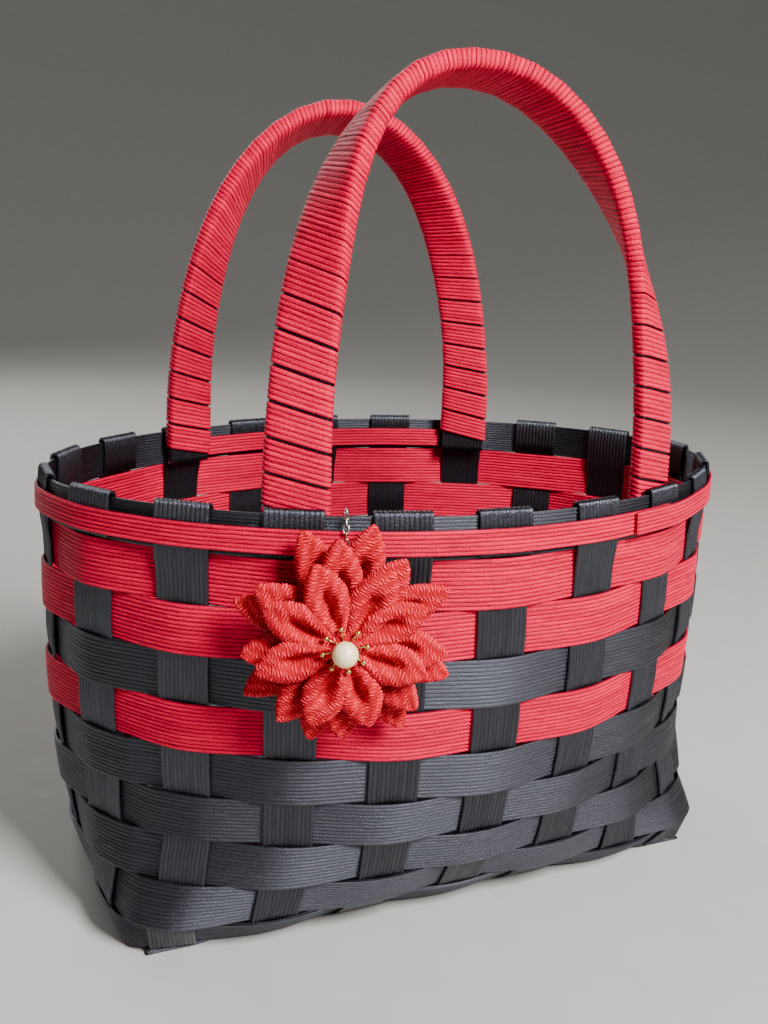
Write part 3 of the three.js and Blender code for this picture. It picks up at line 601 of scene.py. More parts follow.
class Strap:
    """The line of a handle from one foot to the other, with the way that the strap faces."""

    def __init__(self, shape):
        self.turn = shape["turn"]
        self.top_twist = shape["top_twist"]
        low = wall_frame(RIM_LEVEL - HANDLE_FOOT_DEPTH / RIM_STEP, -HANDLE_STAKE / STAKES)
        rim = wall_frame(RIM_LEVEL, -HANDLE_STAKE / STAKES)
        foot = low[0] + low[2] * FOOT_OFFSET
        spring = rim[0] + rim[2] * FOOT_OFFSET + UP * HANDLE_STRAIGHT
        half = [foot, (foot + spring) / 2]
        rise = shape["height"] - HANDLE_STRAIGHT
        for step in range(ARCH_STEPS + 1):
            angle = math.pi / 2 * step / ARCH_STEPS
            power = 2 / shape["roundness"]
            climb = math.sin(angle) ** power
            place = (spring[0] * max(math.cos(angle), 0) ** power, spring[1] + shape["lean"] * climb**2,
                     spring[2] + rise * climb)
            half.append(np.array(place))
        other = [p * (-1, 1, 1) for p in half[-2::-1]]
        self.points = smooth(half + other, STRAP_STEPS)
        gaps = np.linalg.norm(np.diff(self.points, axis=0), axis=1)
        self.run = np.concatenate(([0], np.cumsum(gaps)))
        self.length = self.run[-1]
        face = unit(np.cross(FRONT, self.points[1] - self.points[0]))
        self.foot_twist = math.atan2(low[2] @ FRONT, low[2] @ face)

    def point(self, distance, wide, thick):
        """Place across and through the strap at distances along it, and the wide and thick directions."""
        along = np.clip(distance, PROBE, self.length - PROBE)
        at, before, after = (
            np.stack([np.interp(along + ahead, self.run, self.points[:, k]) for k in range(3)], -1)
            for ahead in (0, -PROBE, PROBE))
        forward = after - before
        forward /= np.linalg.norm(forward, axis=-1, keepdims=True)
        face = np.cross(FRONT, forward)
        face /= np.linalg.norm(face, axis=-1, keepdims=True)
        front = np.cross(forward, face)
        from_foot = np.minimum(along, self.length - along) - HANDLE_FOOT_DEPTH
        eased = smoothstep(from_foot, TWIST_START, TWIST_START + TWIST_LENGTH)
        twist = self.top_twist + (self.foot_twist - self.top_twist) * (1 - eased)
        c, s = np.cos(twist)[..., None], np.sin(twist)[..., None]
        wide_way, thick_way = front * c - face * s, face * c + front * s
        at = at + forward * np.asarray(distance - along)[..., None]
        wide = wide * (1 + FOOT_FLARE * (1 - smoothstep(from_foot, 0, FLARE_LENGTH)))
        # Over the top the strap is thicker, all of it on its outer face
        swell = ARCH_SWELL * smoothstep(from_foot, SWELL_START, SWELL_START + SWELL_LENGTH)
        thick = thick + swell * np.clip(thick / STRAP_HALF_DEPTH / 2 + 0.5, 0, 1)
        place = at + wide_way * np.asarray(wide)[..., None] + thick_way * np.asarray(thick)[..., None]
        if self.turn:
            place, wide_way, thick_way = (v * (-1, -1, 1) for v in (place, wide_way, thick_way))
        return place, wide_way, thick_way


def wrap_stations(strap):
    """The binding: one narrow band wound round the strap, open on the legs and close over the top."""
    look = bpy.context.scene.bag_handles
    w = STRAP_WIDTH / 2 + WRAP_CLEARANCE + HALF_THICKNESS
    t = STRAP_THICKNESS / 2 + WRAP_CLEARANCE + HALF_THICKNESS
    steps = look.wrap_steps
    angle = 2 * math.pi * (np.arange(steps) + 0.5) / steps + math.pi / 4
    power = 2 / look.wrap_squareness
    wide = w * np.sign(np.cos(angle)) * np.abs(np.cos(angle)) ** power
    thick = t * np.sign(np.sin(angle)) * np.abs(np.sin(angle)) ** power
    normal_wide, normal_thick = np.cos(angle) * t, np.sin(angle) * w
    size = np.hypot(normal_wide, normal_thick)
    gap = np.hypot(wide - np.roll(wide, 1), thick - np.roll(thick, 1))
    run = gap / gap.sum()
    end = WRAP_BAND_WIDTH / 2 + EDGE_GAP
    distance, places = end, []
    while distance < strap.length - end:
        k = len(places) % steps
        from_foot = min(distance, strap.length - distance) - HANDLE_FOOT_DEPTH
        tight = smoothstep(from_foot, OPEN_WRAP_LENGTH - look.close_length / MM, OPEN_WRAP_LENGTH)
        pitch = OPEN_PITCH + (TIGHT_PITCH - OPEN_PITCH) * tight
        half = (pitch - look.open_gap / MM * (1 - tight) - look.tight_gap / MM * tight) / 2
        if places:
            distance += pitch * run[k]
        normal = (normal_wide[k] / size[k], normal_thick[k] / size[k])
        places.append((distance, wide[k], thick[k], *normal, half))
    distance, wide, thick, normal_wide, normal_thick, half = np.array(places).T
    edges = []
    for sign in (-1, 1):
        place, wide_way, thick_way = strap.point(distance + half * sign, wide, thick)
        edges += [place, wide_way * normal_wide[:, None] + thick_way * normal_thick[:, None]]
    return np.stack(edges, axis=1)


def core_stations(strap, half_thickness):
    """The strap inside the binding: a thick band whose cords run along the handle."""
    look = bpy.context.scene.bag_handles
    half = STRAP_WIDTH / 2 + WRAP_CLEARANCE - look.core_ease / MM
    distance = np.linspace(0, strap.length, CORE_STATIONS)
    edges = []
    for wide in (-half, half):
        outer, inner = (
            strap.point(distance, np.full(CORE_STATIONS, wide), np.full(CORE_STATIONS, thick))[0]
            for thick in (half_thickness, -half_thickness))
        edges += [(outer + inner) / 2, (outer - inner) / 2 / half_thickness]
    return np.stack(edges, axis=1)


# The chain


def node_points(name):
    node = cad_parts[name]
    co = np.empty(len(node.data.vertices) * 3)
    node.data.vertices.foreach_get("co", co)
    turn = np.array(node.matrix_world)
    return (co.reshape(-1, 3) @ turn[:3, :3].T + turn[:3, 3]) / MM


def node_axes(name):
    """Middle of a node and its longest, middle and shortest directions."""
    points = node_points(name)
    middle = points.mean(axis=0)
    axes = np.linalg.svd(points - middle, full_matrices=False)[2]
    spans = [(points @ a).min() + (points @ a).max() for a in axes]
    return sum(a * span / 2 for a, span in zip(axes, spans)), axes


def wire_ring(name, centre, axes, half_width, straight, wire):
    """Round wire bent to a closed oval."""
    angle = 2 * math.pi * np.arange(WIRE_STEPS) / WIRE_STEPS
    radial = np.outer(np.cos(angle), axes[1]) + np.outer(np.sin(angle), axes[0])
    ends = np.sign(np.round(np.sin(angle), 6)) * straight
    middle = centre + radial * half_width + np.outer(ends, axes[0])
    turn = 2 * math.pi * np.arange(WIRE_SIDES) / WIRE_SIDES
    points = (middle[:, None] + radial[:, None] * (np.cos(turn) * wire / 2)[None, :, None]
              + axes[2][None, None] * (np.sin(turn) * wire / 2)[None, :, None])
    across, along = (np.arange(places) * WIRE_UV_STEP for places in (WIRE_SIDES, WIRE_STEPS + 1))
    return skin(name, points, across, along, closed=True)


# The flower


@lru_cache(maxsize=None)
def flower_frame():
    """Middle of the flower's backing with the directions to the right, up and outwards."""
    _, _, out = wall_frame(RIM_LEVEL, CHAIN_PLACE / STAKES, 1)
    outwards = unit(out * (1, 1, 0))
    low, high = (np.array(corner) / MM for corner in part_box("pearl"))
    pearl = (low + high) / 2
    backing = node_points("flower_backing") @ outwards
    middle = pearl + outwards * ((backing.min() + backing.max()) / 2 - pearl @ outwards)
    return middle, np.cross(UP, outwards), UP, outwards


def in_flower(points):
    middle, right, up, out = flower_frame()
    points = np.asarray(points, float)
    return middle + points[..., :1] * right + points[..., 1:2] * up + points[..., 2:3] * out


def petal_form(t, side, is_front):
    """Half width and height of a petal without its crinkles, and how far a place is down the hollow."""
    look = bpy.context.scene.bag_flower
    # A plump leaf, with its sides drawn in to a short point
    swell = np.sin(math.pi * t**LEAF_BIAS).clip(0) ** LEAF_FULLNESS
    swell = swell * (0.5 + 0.5 * smoothstep(t, 0, NECK_END))
    root = look.root_width / MM * (1 - smoothstep(t, 0, ROOT_END))
    half = (root + look.petal_width / MM * swell + TIP_WIDTH * t) / 2
    cap = np.sqrt(np.clip(1 - (np.clip(t - TIP_START, 0, 1) / (1 - TIP_START)) ** 2, 0, 1))
    roll = look.rim_height / MM * (LEAST_SHARE + (1 - LEAST_SHARE) * smoothstep(t, *RIM_RISES))
    roll = roll * (1 - RIM_DROOP * smoothstep(t, *RIM_FALLS))
    opened, closed = smoothstep(t, *HOLLOW_OPENS), smoothstep(t, *HOLLOW_CLOSES)
    hollow = -look.hollow_depth / MM * opened
    hollow = hollow + (roll * CREASE_HEIGHT - hollow) * closed
    # The hollow is a narrow pit between two broad rims
    inner = hollow + (roll - hollow) * smoothstep(side, CREASE_END, RIM_CREST) ** PIT_POWER
    past = np.clip((side - RIM_CREST) / (1 - RIM_CREST), 0, 1)
    outer = roll * (EDGE_HEIGHT + (1 - EDGE_HEIGHT) * (1 - past**RIM_BULGE) ** RIM_ROUNDNESS)
    fold = side**KEEL_BULGE
    keel = roll * EDGE_DEPTH * fold - (KEEL_LEAST + look.keel_depth / MM * swell) * (1 - fold)
    z = np.where(is_front > 0, np.where(side < RIM_CREST, inner, outer), keel)
    return half, z * (LEAST_SHARE + (1 - LEAST_SHARE) * cap), opened * (1 - closed)


def crinkles(x, y, pitch, rng):
    """Height of the crepe's ridges, 0 to 1: they cross a petal, sweep forward to its rims, and waver."""
    seed = rng.uniform(0, 2 * math.pi, 6)
    wave = sum(bend * np.sin(2 * math.pi * (y / across + x / along) + seed[k])
               for bend, across, along, k in CRINKLE_WAVERS)
    phase = (x - CRINKLE_SWEEP * np.abs(y) + wave) / pitch
    ridge = 0.5 + 0.5 * np.cos(2 * math.pi * phase + seed[2])
    dim, across, along, k = CRINKLE_FADE
    fade = dim * np.sin(2 * math.pi * (x / along + y / across) + seed[k])
    return ridge**CRINKLE_BREADTH * (1 - dim + fade)


def petal_points(reach, top, drop, rng):
    """One folded petal: two rolled rims round a deep hollow that closes to a crease, and a keel behind."""
    look = bpy.context.scene.bag_flower
    pitch = look.crepe_pitch / MM
    start = look.petal_start / MM
    rows = int((reach - start) / pitch * look.ridge_steps)
    t = np.linspace(0, 1, rows)[:, None]
    # Places across the petal are closer together on the rolled rims
    front = np.sin(np.linspace(-math.pi / 2, math.pi / 2, PETAL_COLUMNS))
    back = front[1:-1:2][::-1]
    v = np.concatenate((front, back))[None, :]
    is_front = np.concatenate((np.ones(len(front)), np.zeros(len(back))))[None, :]
    side = np.abs(v)
    half, z, sunk = petal_form(t, side, is_front)
    x = start + (reach - start) * t + 0 * v
    y = half * v
    ridge = crinkles(x, y, pitch, rng)
    depth = look.crepe_depth / MM * (ridge - 0.5)
    depth = depth * (LEAST_SHARE + (1 - LEAST_SHARE) * smoothstep(t, 0, CRINKLES_FULL))
    lean = smoothstep(side, CRINKLES_TURN, 1)
    y = y + depth * lean * np.sign(v)
    z = z + depth * (1 - lean) * np.where(is_front > 0, 1, -1)
    z = z + top - drop * t + rng.normal(0, TIP_LIFT) * t**2
    y = y + rng.normal(0, TIP_SWAY) * t**2
    # Painted shade: the colour mark is lowered down in the hollow, so the cloth is painted deeper red there
    painted_light_marks = ridge * (1 - HOLLOW_SHADE * is_front * sunk * (1 - smoothstep(side, HOLLOW_FLOOR, RIM_CREST)))
    return np.stack((x, y, z), axis=-1), painted_light_marks


def turned(a, b, angle):
    return a * math.cos(angle) - b * math.sin(angle), a * math.sin(angle) + b * math.cos(angle)


def petal_ring(name, ring, rng):
    """Eight petals as one piece."""
    joined = bmesh.new()
    for turn in ring["turns"]:
        reach = ring["reach"] * (1 + rng.normal(0, REACH_SPREAD))
        points, painted_light_marks = petal_points(reach, ring["top"], ring["drop"], rng)
        x, y, z = np.moveaxis(points, -1, 0)
        y, z = turned(y, z - ring["top"], rng.normal(0, ROLL_SPREAD))
        x, y = turned(x, y, math.radians(turn))
        points = in_flower(np.stack((x, y, z + ring["top"]), axis=-1))
        across = np.arange(points.shape[1]) * PETAL_UV_ACROSS
        petal = skin(name, points, across, np.arange(len(points)) * PETAL_UV_ALONG, drawing_marks_and_painted_light=painted_light_marks)
        joined.from_mesh(petal.data)
        bpy.data.meshes.remove(petal.data)
    return new_piece(name, joined)


def revolve(section, steps):
    """A round form spun from its section, which is places of radius and height."""
    bm = bmesh.new()
    verts = [bm.verts.new((r, 0, z)) for r, z in section]
    edges = [bm.edges.new(pair) for pair in zip(verts, verts[1:])]
    bmesh.ops.spin(bm, geom=verts + edges, cent=(0, 0, 0), axis=(0, 0, 1), angle=2 * math.pi, steps=steps,
                   use_merge=True)
    bmesh.ops.remove_doubles(bm, verts=bm.verts, dist=MERGE_DISTANCE)
    bmesh.ops.recalc_face_normals(bm, faces=bm.faces)
    return bm


def flower_piece(name, bm):
    """A piece from a bmesh whose places are in the flower's own frame, in millimetres."""
    for vert in bm.verts:
        vert.co = Vector(in_flower(np.array(vert.co)) * MM)
    bmesh.ops.recalc_face_normals(bm, faces=bm.faces)
    return new_piece(name, bm)


# Materials


def linear(colour):
    """Linear colour of an sRGB hex value."""
    parts = [int(colour[i:i + 2], 16) / 255 for i in (1, 3, 5)]
    return [c / 12.92 if c <= 0.04045 else ((c + 0.055) / 1.055) ** 2.4 for c in parts] + [1.0]


def add_node(tree, kind, inputs=None, **settings):
    """A node with its settings; inputs are values, or sockets to link."""
    node = tree.nodes.new(kind)
    for key, value in settings.items():
        setattr(node, key, value)
    for key, value in (inputs or {}).items():
        if isinstance(value, bpy.types.NodeSocket):
            tree.links.new(value, node.inputs[key])
        else:
            node.inputs[key].default_value = value
    return node


def combine(tree, operation, a, b):
    return add_node(tree, "ShaderNodeMath", {0: a, 1: b}, operation=operation).outputs[0]


def remap(tree, value, source, target=(0, 1)):
    """A value carried from one span to another, held at both ends."""
    inputs = {0: value, 1: source[0], 2: source[1], 3: target[0], 4: target[1]}
    return add_node(tree, "ShaderNodeMapRange", inputs).outputs[0]


def mix(tree, amount, a, b, **settings):
    inputs = {"Factor": amount, 6: a, 7: b}
    return add_node(tree, "ShaderNodeMix", inputs, data_type="RGBA", **settings).outputs[2]


def noise(tree, place, scale, detail):
    inputs = {"Vector": place, "Scale": scale, "Detail": detail}
    return add_node(tree, "ShaderNodeTexNoise", inputs).outputs[0]


def bump(tree, height, strength, distance):
    inputs = {"Height": height, "Strength": strength, "Distance": distance}
    return add_node(tree, "ShaderNodeBump", inputs).outputs[0]


def object_place(tree):
    return add_node(tree, "ShaderNodeTexCoord").outputs["Object"]


def new_material(name):
    material = bpy.data.materials.new(name)
    material.use_nodes = True
    tree = material.node_tree
    tree.nodes.clear()
    return material, tree


def finish_material(tree, inputs):
    shader = add_node(tree, "ShaderNodeBsdfPrincipled", inputs)
    add_node(tree, "ShaderNodeOutputMaterial", {"Surface": shader.outputs[0]})


def paper_band(name, dark, light, glint, gleam, roughness):
    """Flat band of twisted paper cords: a satin face with fine streaks and painted sheen, and painted shade
    between the cords.
    """
    cords_per_mm = MM / bpy.context.scene.bag_bands.ply_width
    material, tree = new_material(name)
    place = add_node(tree, "ShaderNodeUVMap", uv_map="UVMap").outputs["UV"]

    def pattern(across, along, detail, slant=0):
        """Noise of so many patches to a millimetre across and along a cord."""
        inputs = {"Vector": place, "Scale": (across, along, 1), "Rotation": (0, 0, slant)}
        return noise(tree, add_node(tree, "ShaderNodeMapping", inputs).outputs[0], 1, detail)

    # Streaks of fibre: 0.25 mm across and 5 mm along a cord
    streaks = pattern(4, 0.2, 4)
    # The twist of a cord: short slanting flecks, 0.6 mm along it
    flecks = pattern(2.2, 1.6, 3, slant=0.5)
    # Each cord takes the dye a little differently, and wanders along its length
    tones = pattern(cords_per_mm, 0.03, 2)
    across = add_node(tree, "ShaderNodeSeparateXYZ", {"Vector": place}).outputs["X"]
    to_groove = combine(tree, "PINGPONG", combine(tree, "MULTIPLY", across, cords_per_mm), 0.5)
    # Painted shade: the colour is darkened towards the groove between two cords, where shade would fall
    painted_groove_shade = remap(tree, to_groove, (0.02, 0.2), (0.32, 1))
    # Streaks, flecks and cord tones together: the fibre's own tone, and a painted sheen where the lighter
    # colour falls on the spots made glossier
    fibre_tone_and_painted_sheen = combine(tree, "ADD", flecks, combine(tree, "ADD", streaks, tones))
    # The span that the three patterns together keep to
    spread = (1.2, 1.85)
    colour = mix(tree, remap(tree, fibre_tone_and_painted_sheen, spread), linear(dark), linear(light))
    relief = bump(tree, combine(tree, "ADD", flecks, streaks), 0.9, 0.3 * MM)
    # Light spreads across the cords and stays narrow along them
    tangent = add_node(tree, "ShaderNodeTangent", direction_type="UV_MAP", uv_map="UVMap").outputs[0]
    finish_material(tree, {
        "Base Color": mix(tree, 1, colour, painted_groove_shade, blend_type="MULTIPLY"),
        "Roughness": remap(tree, fibre_tone_and_painted_sheen, spread, (roughness + 0.2, roughness - 0.08)), "Normal": relief,
        "Tangent": tangent, "IOR": 1.5, "Specular IOR Level": gleam, "Specular Tint": linear(glint),
        "Anisotropic": 0.85,
    })
    return material


def crepe_cloth(name):
    """Rayon crepe, matt: one red painted lighter on the crests of the crinkle as a highlight and darker in
    its folds as shade.
    """
    look = bpy.context.scene.bag_flower
    material, tree = new_material(name)
    place = object_place(tree)
    ridge = add_node(tree, "ShaderNodeAttribute", attribute_name="ridge").outputs["Fac"]
    mottle = combine(tree, "MULTIPLY", noise(tree, place, 0.7 / MM, 3), 0.2)
    # Painted highlight on the ridge crests and painted shade between them, from the per-point mark that also
    # carries the hollow's painted shade
    painted_crest_light = remap(tree, combine(tree, "ADD", ridge, mottle), (0.58, 0.95))
    finish_material(tree, {
        "Base Color": mix(tree, painted_crest_light, [*look.crepe_painted_shade, 1], [*look.crepe_painted_highlight, 1]),
        "Roughness": 0.72, "Normal": bump(tree, noise(tree, place, 4.5 / MM, 2), 0.35, 0.1 * MM),
        "Specular IOR Level": 0.12,
    })
    return material


def bright_metal(name, dull, bright, roughness):
    """Plated wire: bright, with faint drawing marks that break up the reflection."""
    material, tree = new_material(name)
    drawing_marks_and_painted_light = noise(tree, object_place(tree), 2.5 / MM, 3)
    finish_material(tree, {
        "Base Color": mix(tree, drawing_marks_and_painted_light, linear(dull), linear(bright)), "Metallic": 1,
        "Roughness": remap(tree, drawing_marks_and_painted_light, (0.3, 0.7), (roughness - 0.05, roughness + 0.1)),
    })
    return material


def pearl_lacquer(name):
    """Cream imitation pearl: a soft body under a clear nacre lacquer with a broad highlight."""
    material, tree = new_material(name)
    clouds = noise(tree, object_place(tree), 0.26 / MM, 2)
    facing = add_node(tree, "ShaderNodeLayerWeight", {"Blend": 0.4}).outputs["Facing"]
    body = mix(tree, clouds, linear("#ffe4ac"), linear("#fff2ce"))
    finish_material(tree, {
        "Base Color": mix(tree, facing, body, linear("#efc78a")), "Roughness": 0.32,
        "Normal": bump(tree, clouds, 0.1, 0.1 * MM), "Subsurface Weight": 0.2,
        "Subsurface Radius": (2 * MM, 1.5 * MM, MM), "Coat Weight": 0.7, "Coat Roughness": 0.12,
    })
    return material


def studio_paper(name):
    """Pale matt paper sweep, with only a trace of mottle."""
    material, tree = new_material(name)
    fibre = noise(tree, object_place(tree), 0.06 / MM, 6)
    colour = mix(tree, fibre, linear("#a9a7a2"), linear("#b2b0ab"))
    finish_material(tree, {"Base Color": colour, "Roughness": 0.85})
    return material


# The material of each slot: how it is made, its name and its look
MATERIALS = {
    # The lighter band colour is partly the fibre's own tone and partly a painted sheen on the glossier spots
    "black_band": (paper_band, "black_paper_band", "#030303", "#17171b", "#e6eaff", 1, 0.4),
    "red_band": (paper_band, "red_paper_band", "#a8002a", "#f20046", "#ff6c84", 0.3, 0.46),
    "red_crepe": (crepe_cloth, "red_rayon_crepe"),
    "silver_chain": (bright_metal, "silver_plated_wire", "#a9a69f", "#e4e1da", 0.2),
    "pale_gold": (bright_metal, "pale_gold_wire", "#9c7c34", "#efd890", 0.22),
    "pearl_bead": (pearl_lacquer, "cream_pearl_lacquer"),
}


def material_of(slot):
    """The material of a slot, made when it is first asked for."""
    make, name, *look = MATERIALS[slot]
    return bpy.data.materials.get(name) or make(name, *look)


# Settings


def length_setting(name, description, millimetres):
    return bpy.props.FloatProperty(name=name, description=description, default=millimetres * MM,
                                   subtype="DISTANCE", unit="LENGTH", precision=5)


def number_setting(name, description, default):
    return bpy.props.FloatProperty(name=name, description=description, default=default, min=0)


def count_setting(name, description, default):
    return bpy.props.IntProperty(name=name, description=description, default=default, min=2)


def colour_setting(name, description, colour):
    return bpy.props.FloatVectorProperty(name=name, description=description, default=linear(colour)[:3],
                                         size=3, subtype="COLOR", min=0, max=1)


class BagBands(bpy.types.PropertyGroup):
    ply_width: length_setting("Cord width", "Width of one cord of a band", BAND_WIDTH / WIDE_PLIES)
    row_gap: length_setting("Row gap", "Gap between one woven row and the next", 0.04)
    weave_depth: length_setting("Weave depth", "How far a row stands off the middle of a stake", 1.15)
    groove_depth: length_setting("Groove depth", "How deep the line between two cords is", 0.27)
    ripple: length_setting("Stake ripple", "How far a stake swells in and out between the rows", 0.4)
    ply_steps: count_setting("Cord steps", "Facets across one cord", 4)
    wide_plies: count_setting("Wide band cords", "Cords in a wide band", WIDE_PLIES)
    narrow_plies: count_setting("Narrow band cords", "Cords in a narrow band", NARROW_PLIES)


class BagHandles(bpy.types.PropertyGroup):
    wrap_steps: count_setting("Wrap steps", "Stations in one turn of binding", 16)
    wrap_squareness: number_setting("Wrap squareness", "2 is a plain ellipse, more is a squarer strap", 5)
    open_gap: length_setting("Open gap", "Gap between the turns of binding on the legs", 0.8)
    tight_gap: length_setting("Close gap", "Gap between the turns of binding over the top", 0.06)
    close_length: length_setting("Closing length", "Length of handle in which the turns close up", 30)
    core_thickness: length_setting("Strap thickness", "Thickness of the strap inside the binding", 3)
    core_ease: length_setting("Strap ease", "Space between the strap's edge and the binding", 0.15)
    core_plies: count_setting("Strap cords", "Cords across the strap inside", 13)


class BagFlower(bpy.types.PropertyGroup):
    crepe_pitch: length_setting("Crinkle pitch", "Distance from one ridge of the crepe to the next", 0.94)
    crepe_depth: length_setting("Crinkle depth", "Height of a ridge of the crepe", 0.44)
    ridge_steps: count_setting("Ridge steps", "Rows of faces along one crinkle", 6)
    petal_start: length_setting("Petal root", "Distance of a petal's root from the middle", 2.6)
    petal_width: length_setting("Petal width", "Width of a petal where it is widest", 12.6)
    root_width: length_setting("Root width", "Width of a petal at its root", 1.8)
    rim_height: length_setting("Rim height", "How far a petal's rolled rim stands up", 1.9)
    hollow_depth: length_setting("Hollow depth", "How deep the fold in a petal goes", 1.9)
    keel_depth: length_setting("Keel depth", "How far a petal swells behind", 1.9)
    # Painted light: the crepe is one red, painted darker between its ridges as shade and lighter on their
    # crests as a highlight
    crepe_painted_shade: colour_setting("Crepe in the folds", "Colour between the ridges", "#a80016")
    crepe_painted_highlight: colour_setting("Crepe on the crests", "Colour on top of the ridges", "#ff344c")


class BagStudio(bpy.types.PropertyGroup):
    key_power: number_setting("Key light", "Power of the main light", 52)
    fill_power: number_setting("Fill light", "Power of the weaker light", 0.8)
    back_power: number_setting("Back light", "Power of the light behind", 12)
    room_light: number_setting("Room light", "Light from all round", 0.14)


# Steps


def lay(node, slot, stations, name=None, plies=None, **how):
    """A band of the bag in place of a node: a wide one unless told otherwise."""
    plies = plies or bpy.context.scene.bag_bands.wide_plies
    dress(band(name or f"plaited_{node}", stations, plies, **how), "bag", slot, node)


class BagStakes(bpy.types.Operator):
    """Lay the ten stakes across the base, up the wall and over the rim"""

    bl_idname = "basket.stakes"
    bl_label = "Stakes"

    def execute(self, context):
        for kind, amount, run in (("cross", CROSS_STAKES, cross_stake_stations),
                                  ("side", SIDE_STAKES, side_stake_stations)):
            for i in range(amount):
                stations = [cross_station(*s) for s in run(i - (amount - 1) // 2)]
                lay(f"{kind}_stake_{i + 1}", "black_band", stations, steps=3)
        return {"FINISHED"}


class BagBase(bpy.types.Operator):
    """Lay the filler strips between the side stakes along the base"""

    bl_idname = "basket.base_strips"
    bl_label = "Base strips"

    def execute(self, context):
        for i in range(SIDE_STAKES + 1):
            stations = [cross_station(*s) for s in filler_stations(2 * i - SIDE_STAKES)]
            lay(f"base_filler_{i + 1}", "black_band", stations)
        return {"FINISHED"}


class BagRows(bpy.types.Operator):
    """Weave the nine rows in and out of the stakes"""

    bl_idname = "basket.rows"
    bl_label = "Woven rows"

    def execute(self, context):
        for row in range(1, ROWS + 1):
            slot = "red_band" if row in RED_ROWS else "black_band"
            lay(f"weaver_row_{row}", slot, weaver_stations(row), closed=True, steps=7, crown=ROW_CROWN)
        return {"FINISHED"}


class BagRim(bpy.types.Operator):
    """Set the ring in the rim, the red band outside it and the short bands inside"""

    bl_idname = "basket.rim"
    bl_label = "Rim"

    def execute(self, context):
        lay("rim_ring", "black_band", rim_ring_stations(), closed=True)
        offset = 2 * LAYER_STEP
        lap_end = RIM_BAND_START + RIM_BAND_LAP / RIM_PITCH

        def rim_offset(place):
            return offset + LAYER_STEP if place < lap_end + RIM_BAND_STEP else offset

        runs = {"rim_band": narrow_stations(RIM_BAND_START, lap_end + STAKES, rim_offset)}
        half_foot = (STRAP_WIDTH / 2 + WRAP_CLEARANCE + BAND_THICKNESS) * (1 + FOOT_FLARE)
        reach = HANDLE_STAKE - (half_foot + LAYER_GAP) / RIM_PITCH
        for side, middle in (("front", 0), ("back", STAKES // 2)):
            ends = (middle - reach, middle + reach)
            runs[f"{side}_inner_band"] = narrow_stations(*ends, lambda place: -offset)
        for node, stations in runs.items():
            lay(node, "red_band", stations, plies=context.scene.bag_bands.narrow_plies)
        return {"FINISHED"}


class BagHandlesStep(bpy.types.Operator):
    """Bind the two strap handles with narrow band"""

    bl_idname = "basket.handles"
    bl_label = "Handles"

    def execute(self, context):
        look = context.scene.bag_handles
        for shape in HANDLE_SHAPES:
            side = shape["side"]
            strap = Strap(shape)
            lay(f"{side}_handle_wrap", "red_band", wrap_stations(strap), name=f"wound_{side}_handle",
                plies=context.scene.bag_bands.narrow_plies, steps=1)
            half = look.core_thickness / MM / 2
            lay(f"{side}_handle_core", "black_band", core_stations(strap, half), name=f"corded_{side}_handle",
                plies=look.core_plies, steps=2, half_thickness=half)
        return {"FINISHED"}


class BagChain(bpy.types.Operator):
    """Bend the chain's links and the jump ring from round wire"""

    bl_idname = "basket.chain"
    bl_label = "Chain"

    def execute(self, context):
        bend = (LINK_WIDTH - LINK_WIRE) / 2
        straight = (LINK_LENGTH - LINK_WIRE) / 2 - bend
        for i in range(1, LINKS + 1):
            node = f"chain_link_{i}"
            link = wire_ring(f"wire_{node}", *node_axes(node), bend, straight, LINK_WIRE)
            dress(link, "bag" if i <= FIXED_LINKS else "charm_chain", "silver_chain", node)
        ring = wire_ring("wire_jump_ring", *node_axes("jump_ring"), JUMP_RING_RADIUS, 0, JUMP_RING_WIRE)
        dress(ring, "flower", "silver_chain", "jump_ring")
        return {"FINISHED"}


class BagPetals(bpy.types.Operator):
    """Fold the three rings of crepe petals and cover the disc behind them"""

    bl_idname = "basket.petals"
    bl_label = "Petals"

    def execute(self, context):
        rng = np.random.default_rng(PETAL_SEED)
        for ring in PETAL_RINGS:
            piece = petal_ring(f"folded_{ring['name']}", ring, rng)
            dress(piece, "flower", "red_crepe", ring["name"])
        disc = flower_piece("covered_backing", revolve(BACKING_SECTION, BACKING_STEPS))
        dress(disc, "flower", "red_crepe", "flower_backing")
        centre = in_flower((0, BACKING_RADIUS + EYE_RADIUS - EYE_SINK, 0))
        _, right, up, out = flower_frame()
        eye = wire_ring("backing_eye", centre, (up, right, out), EYE_RADIUS, 0, EYE_WIRE)
        dress(eye, "flower", "silver_chain")
        return {"FINISHED"}


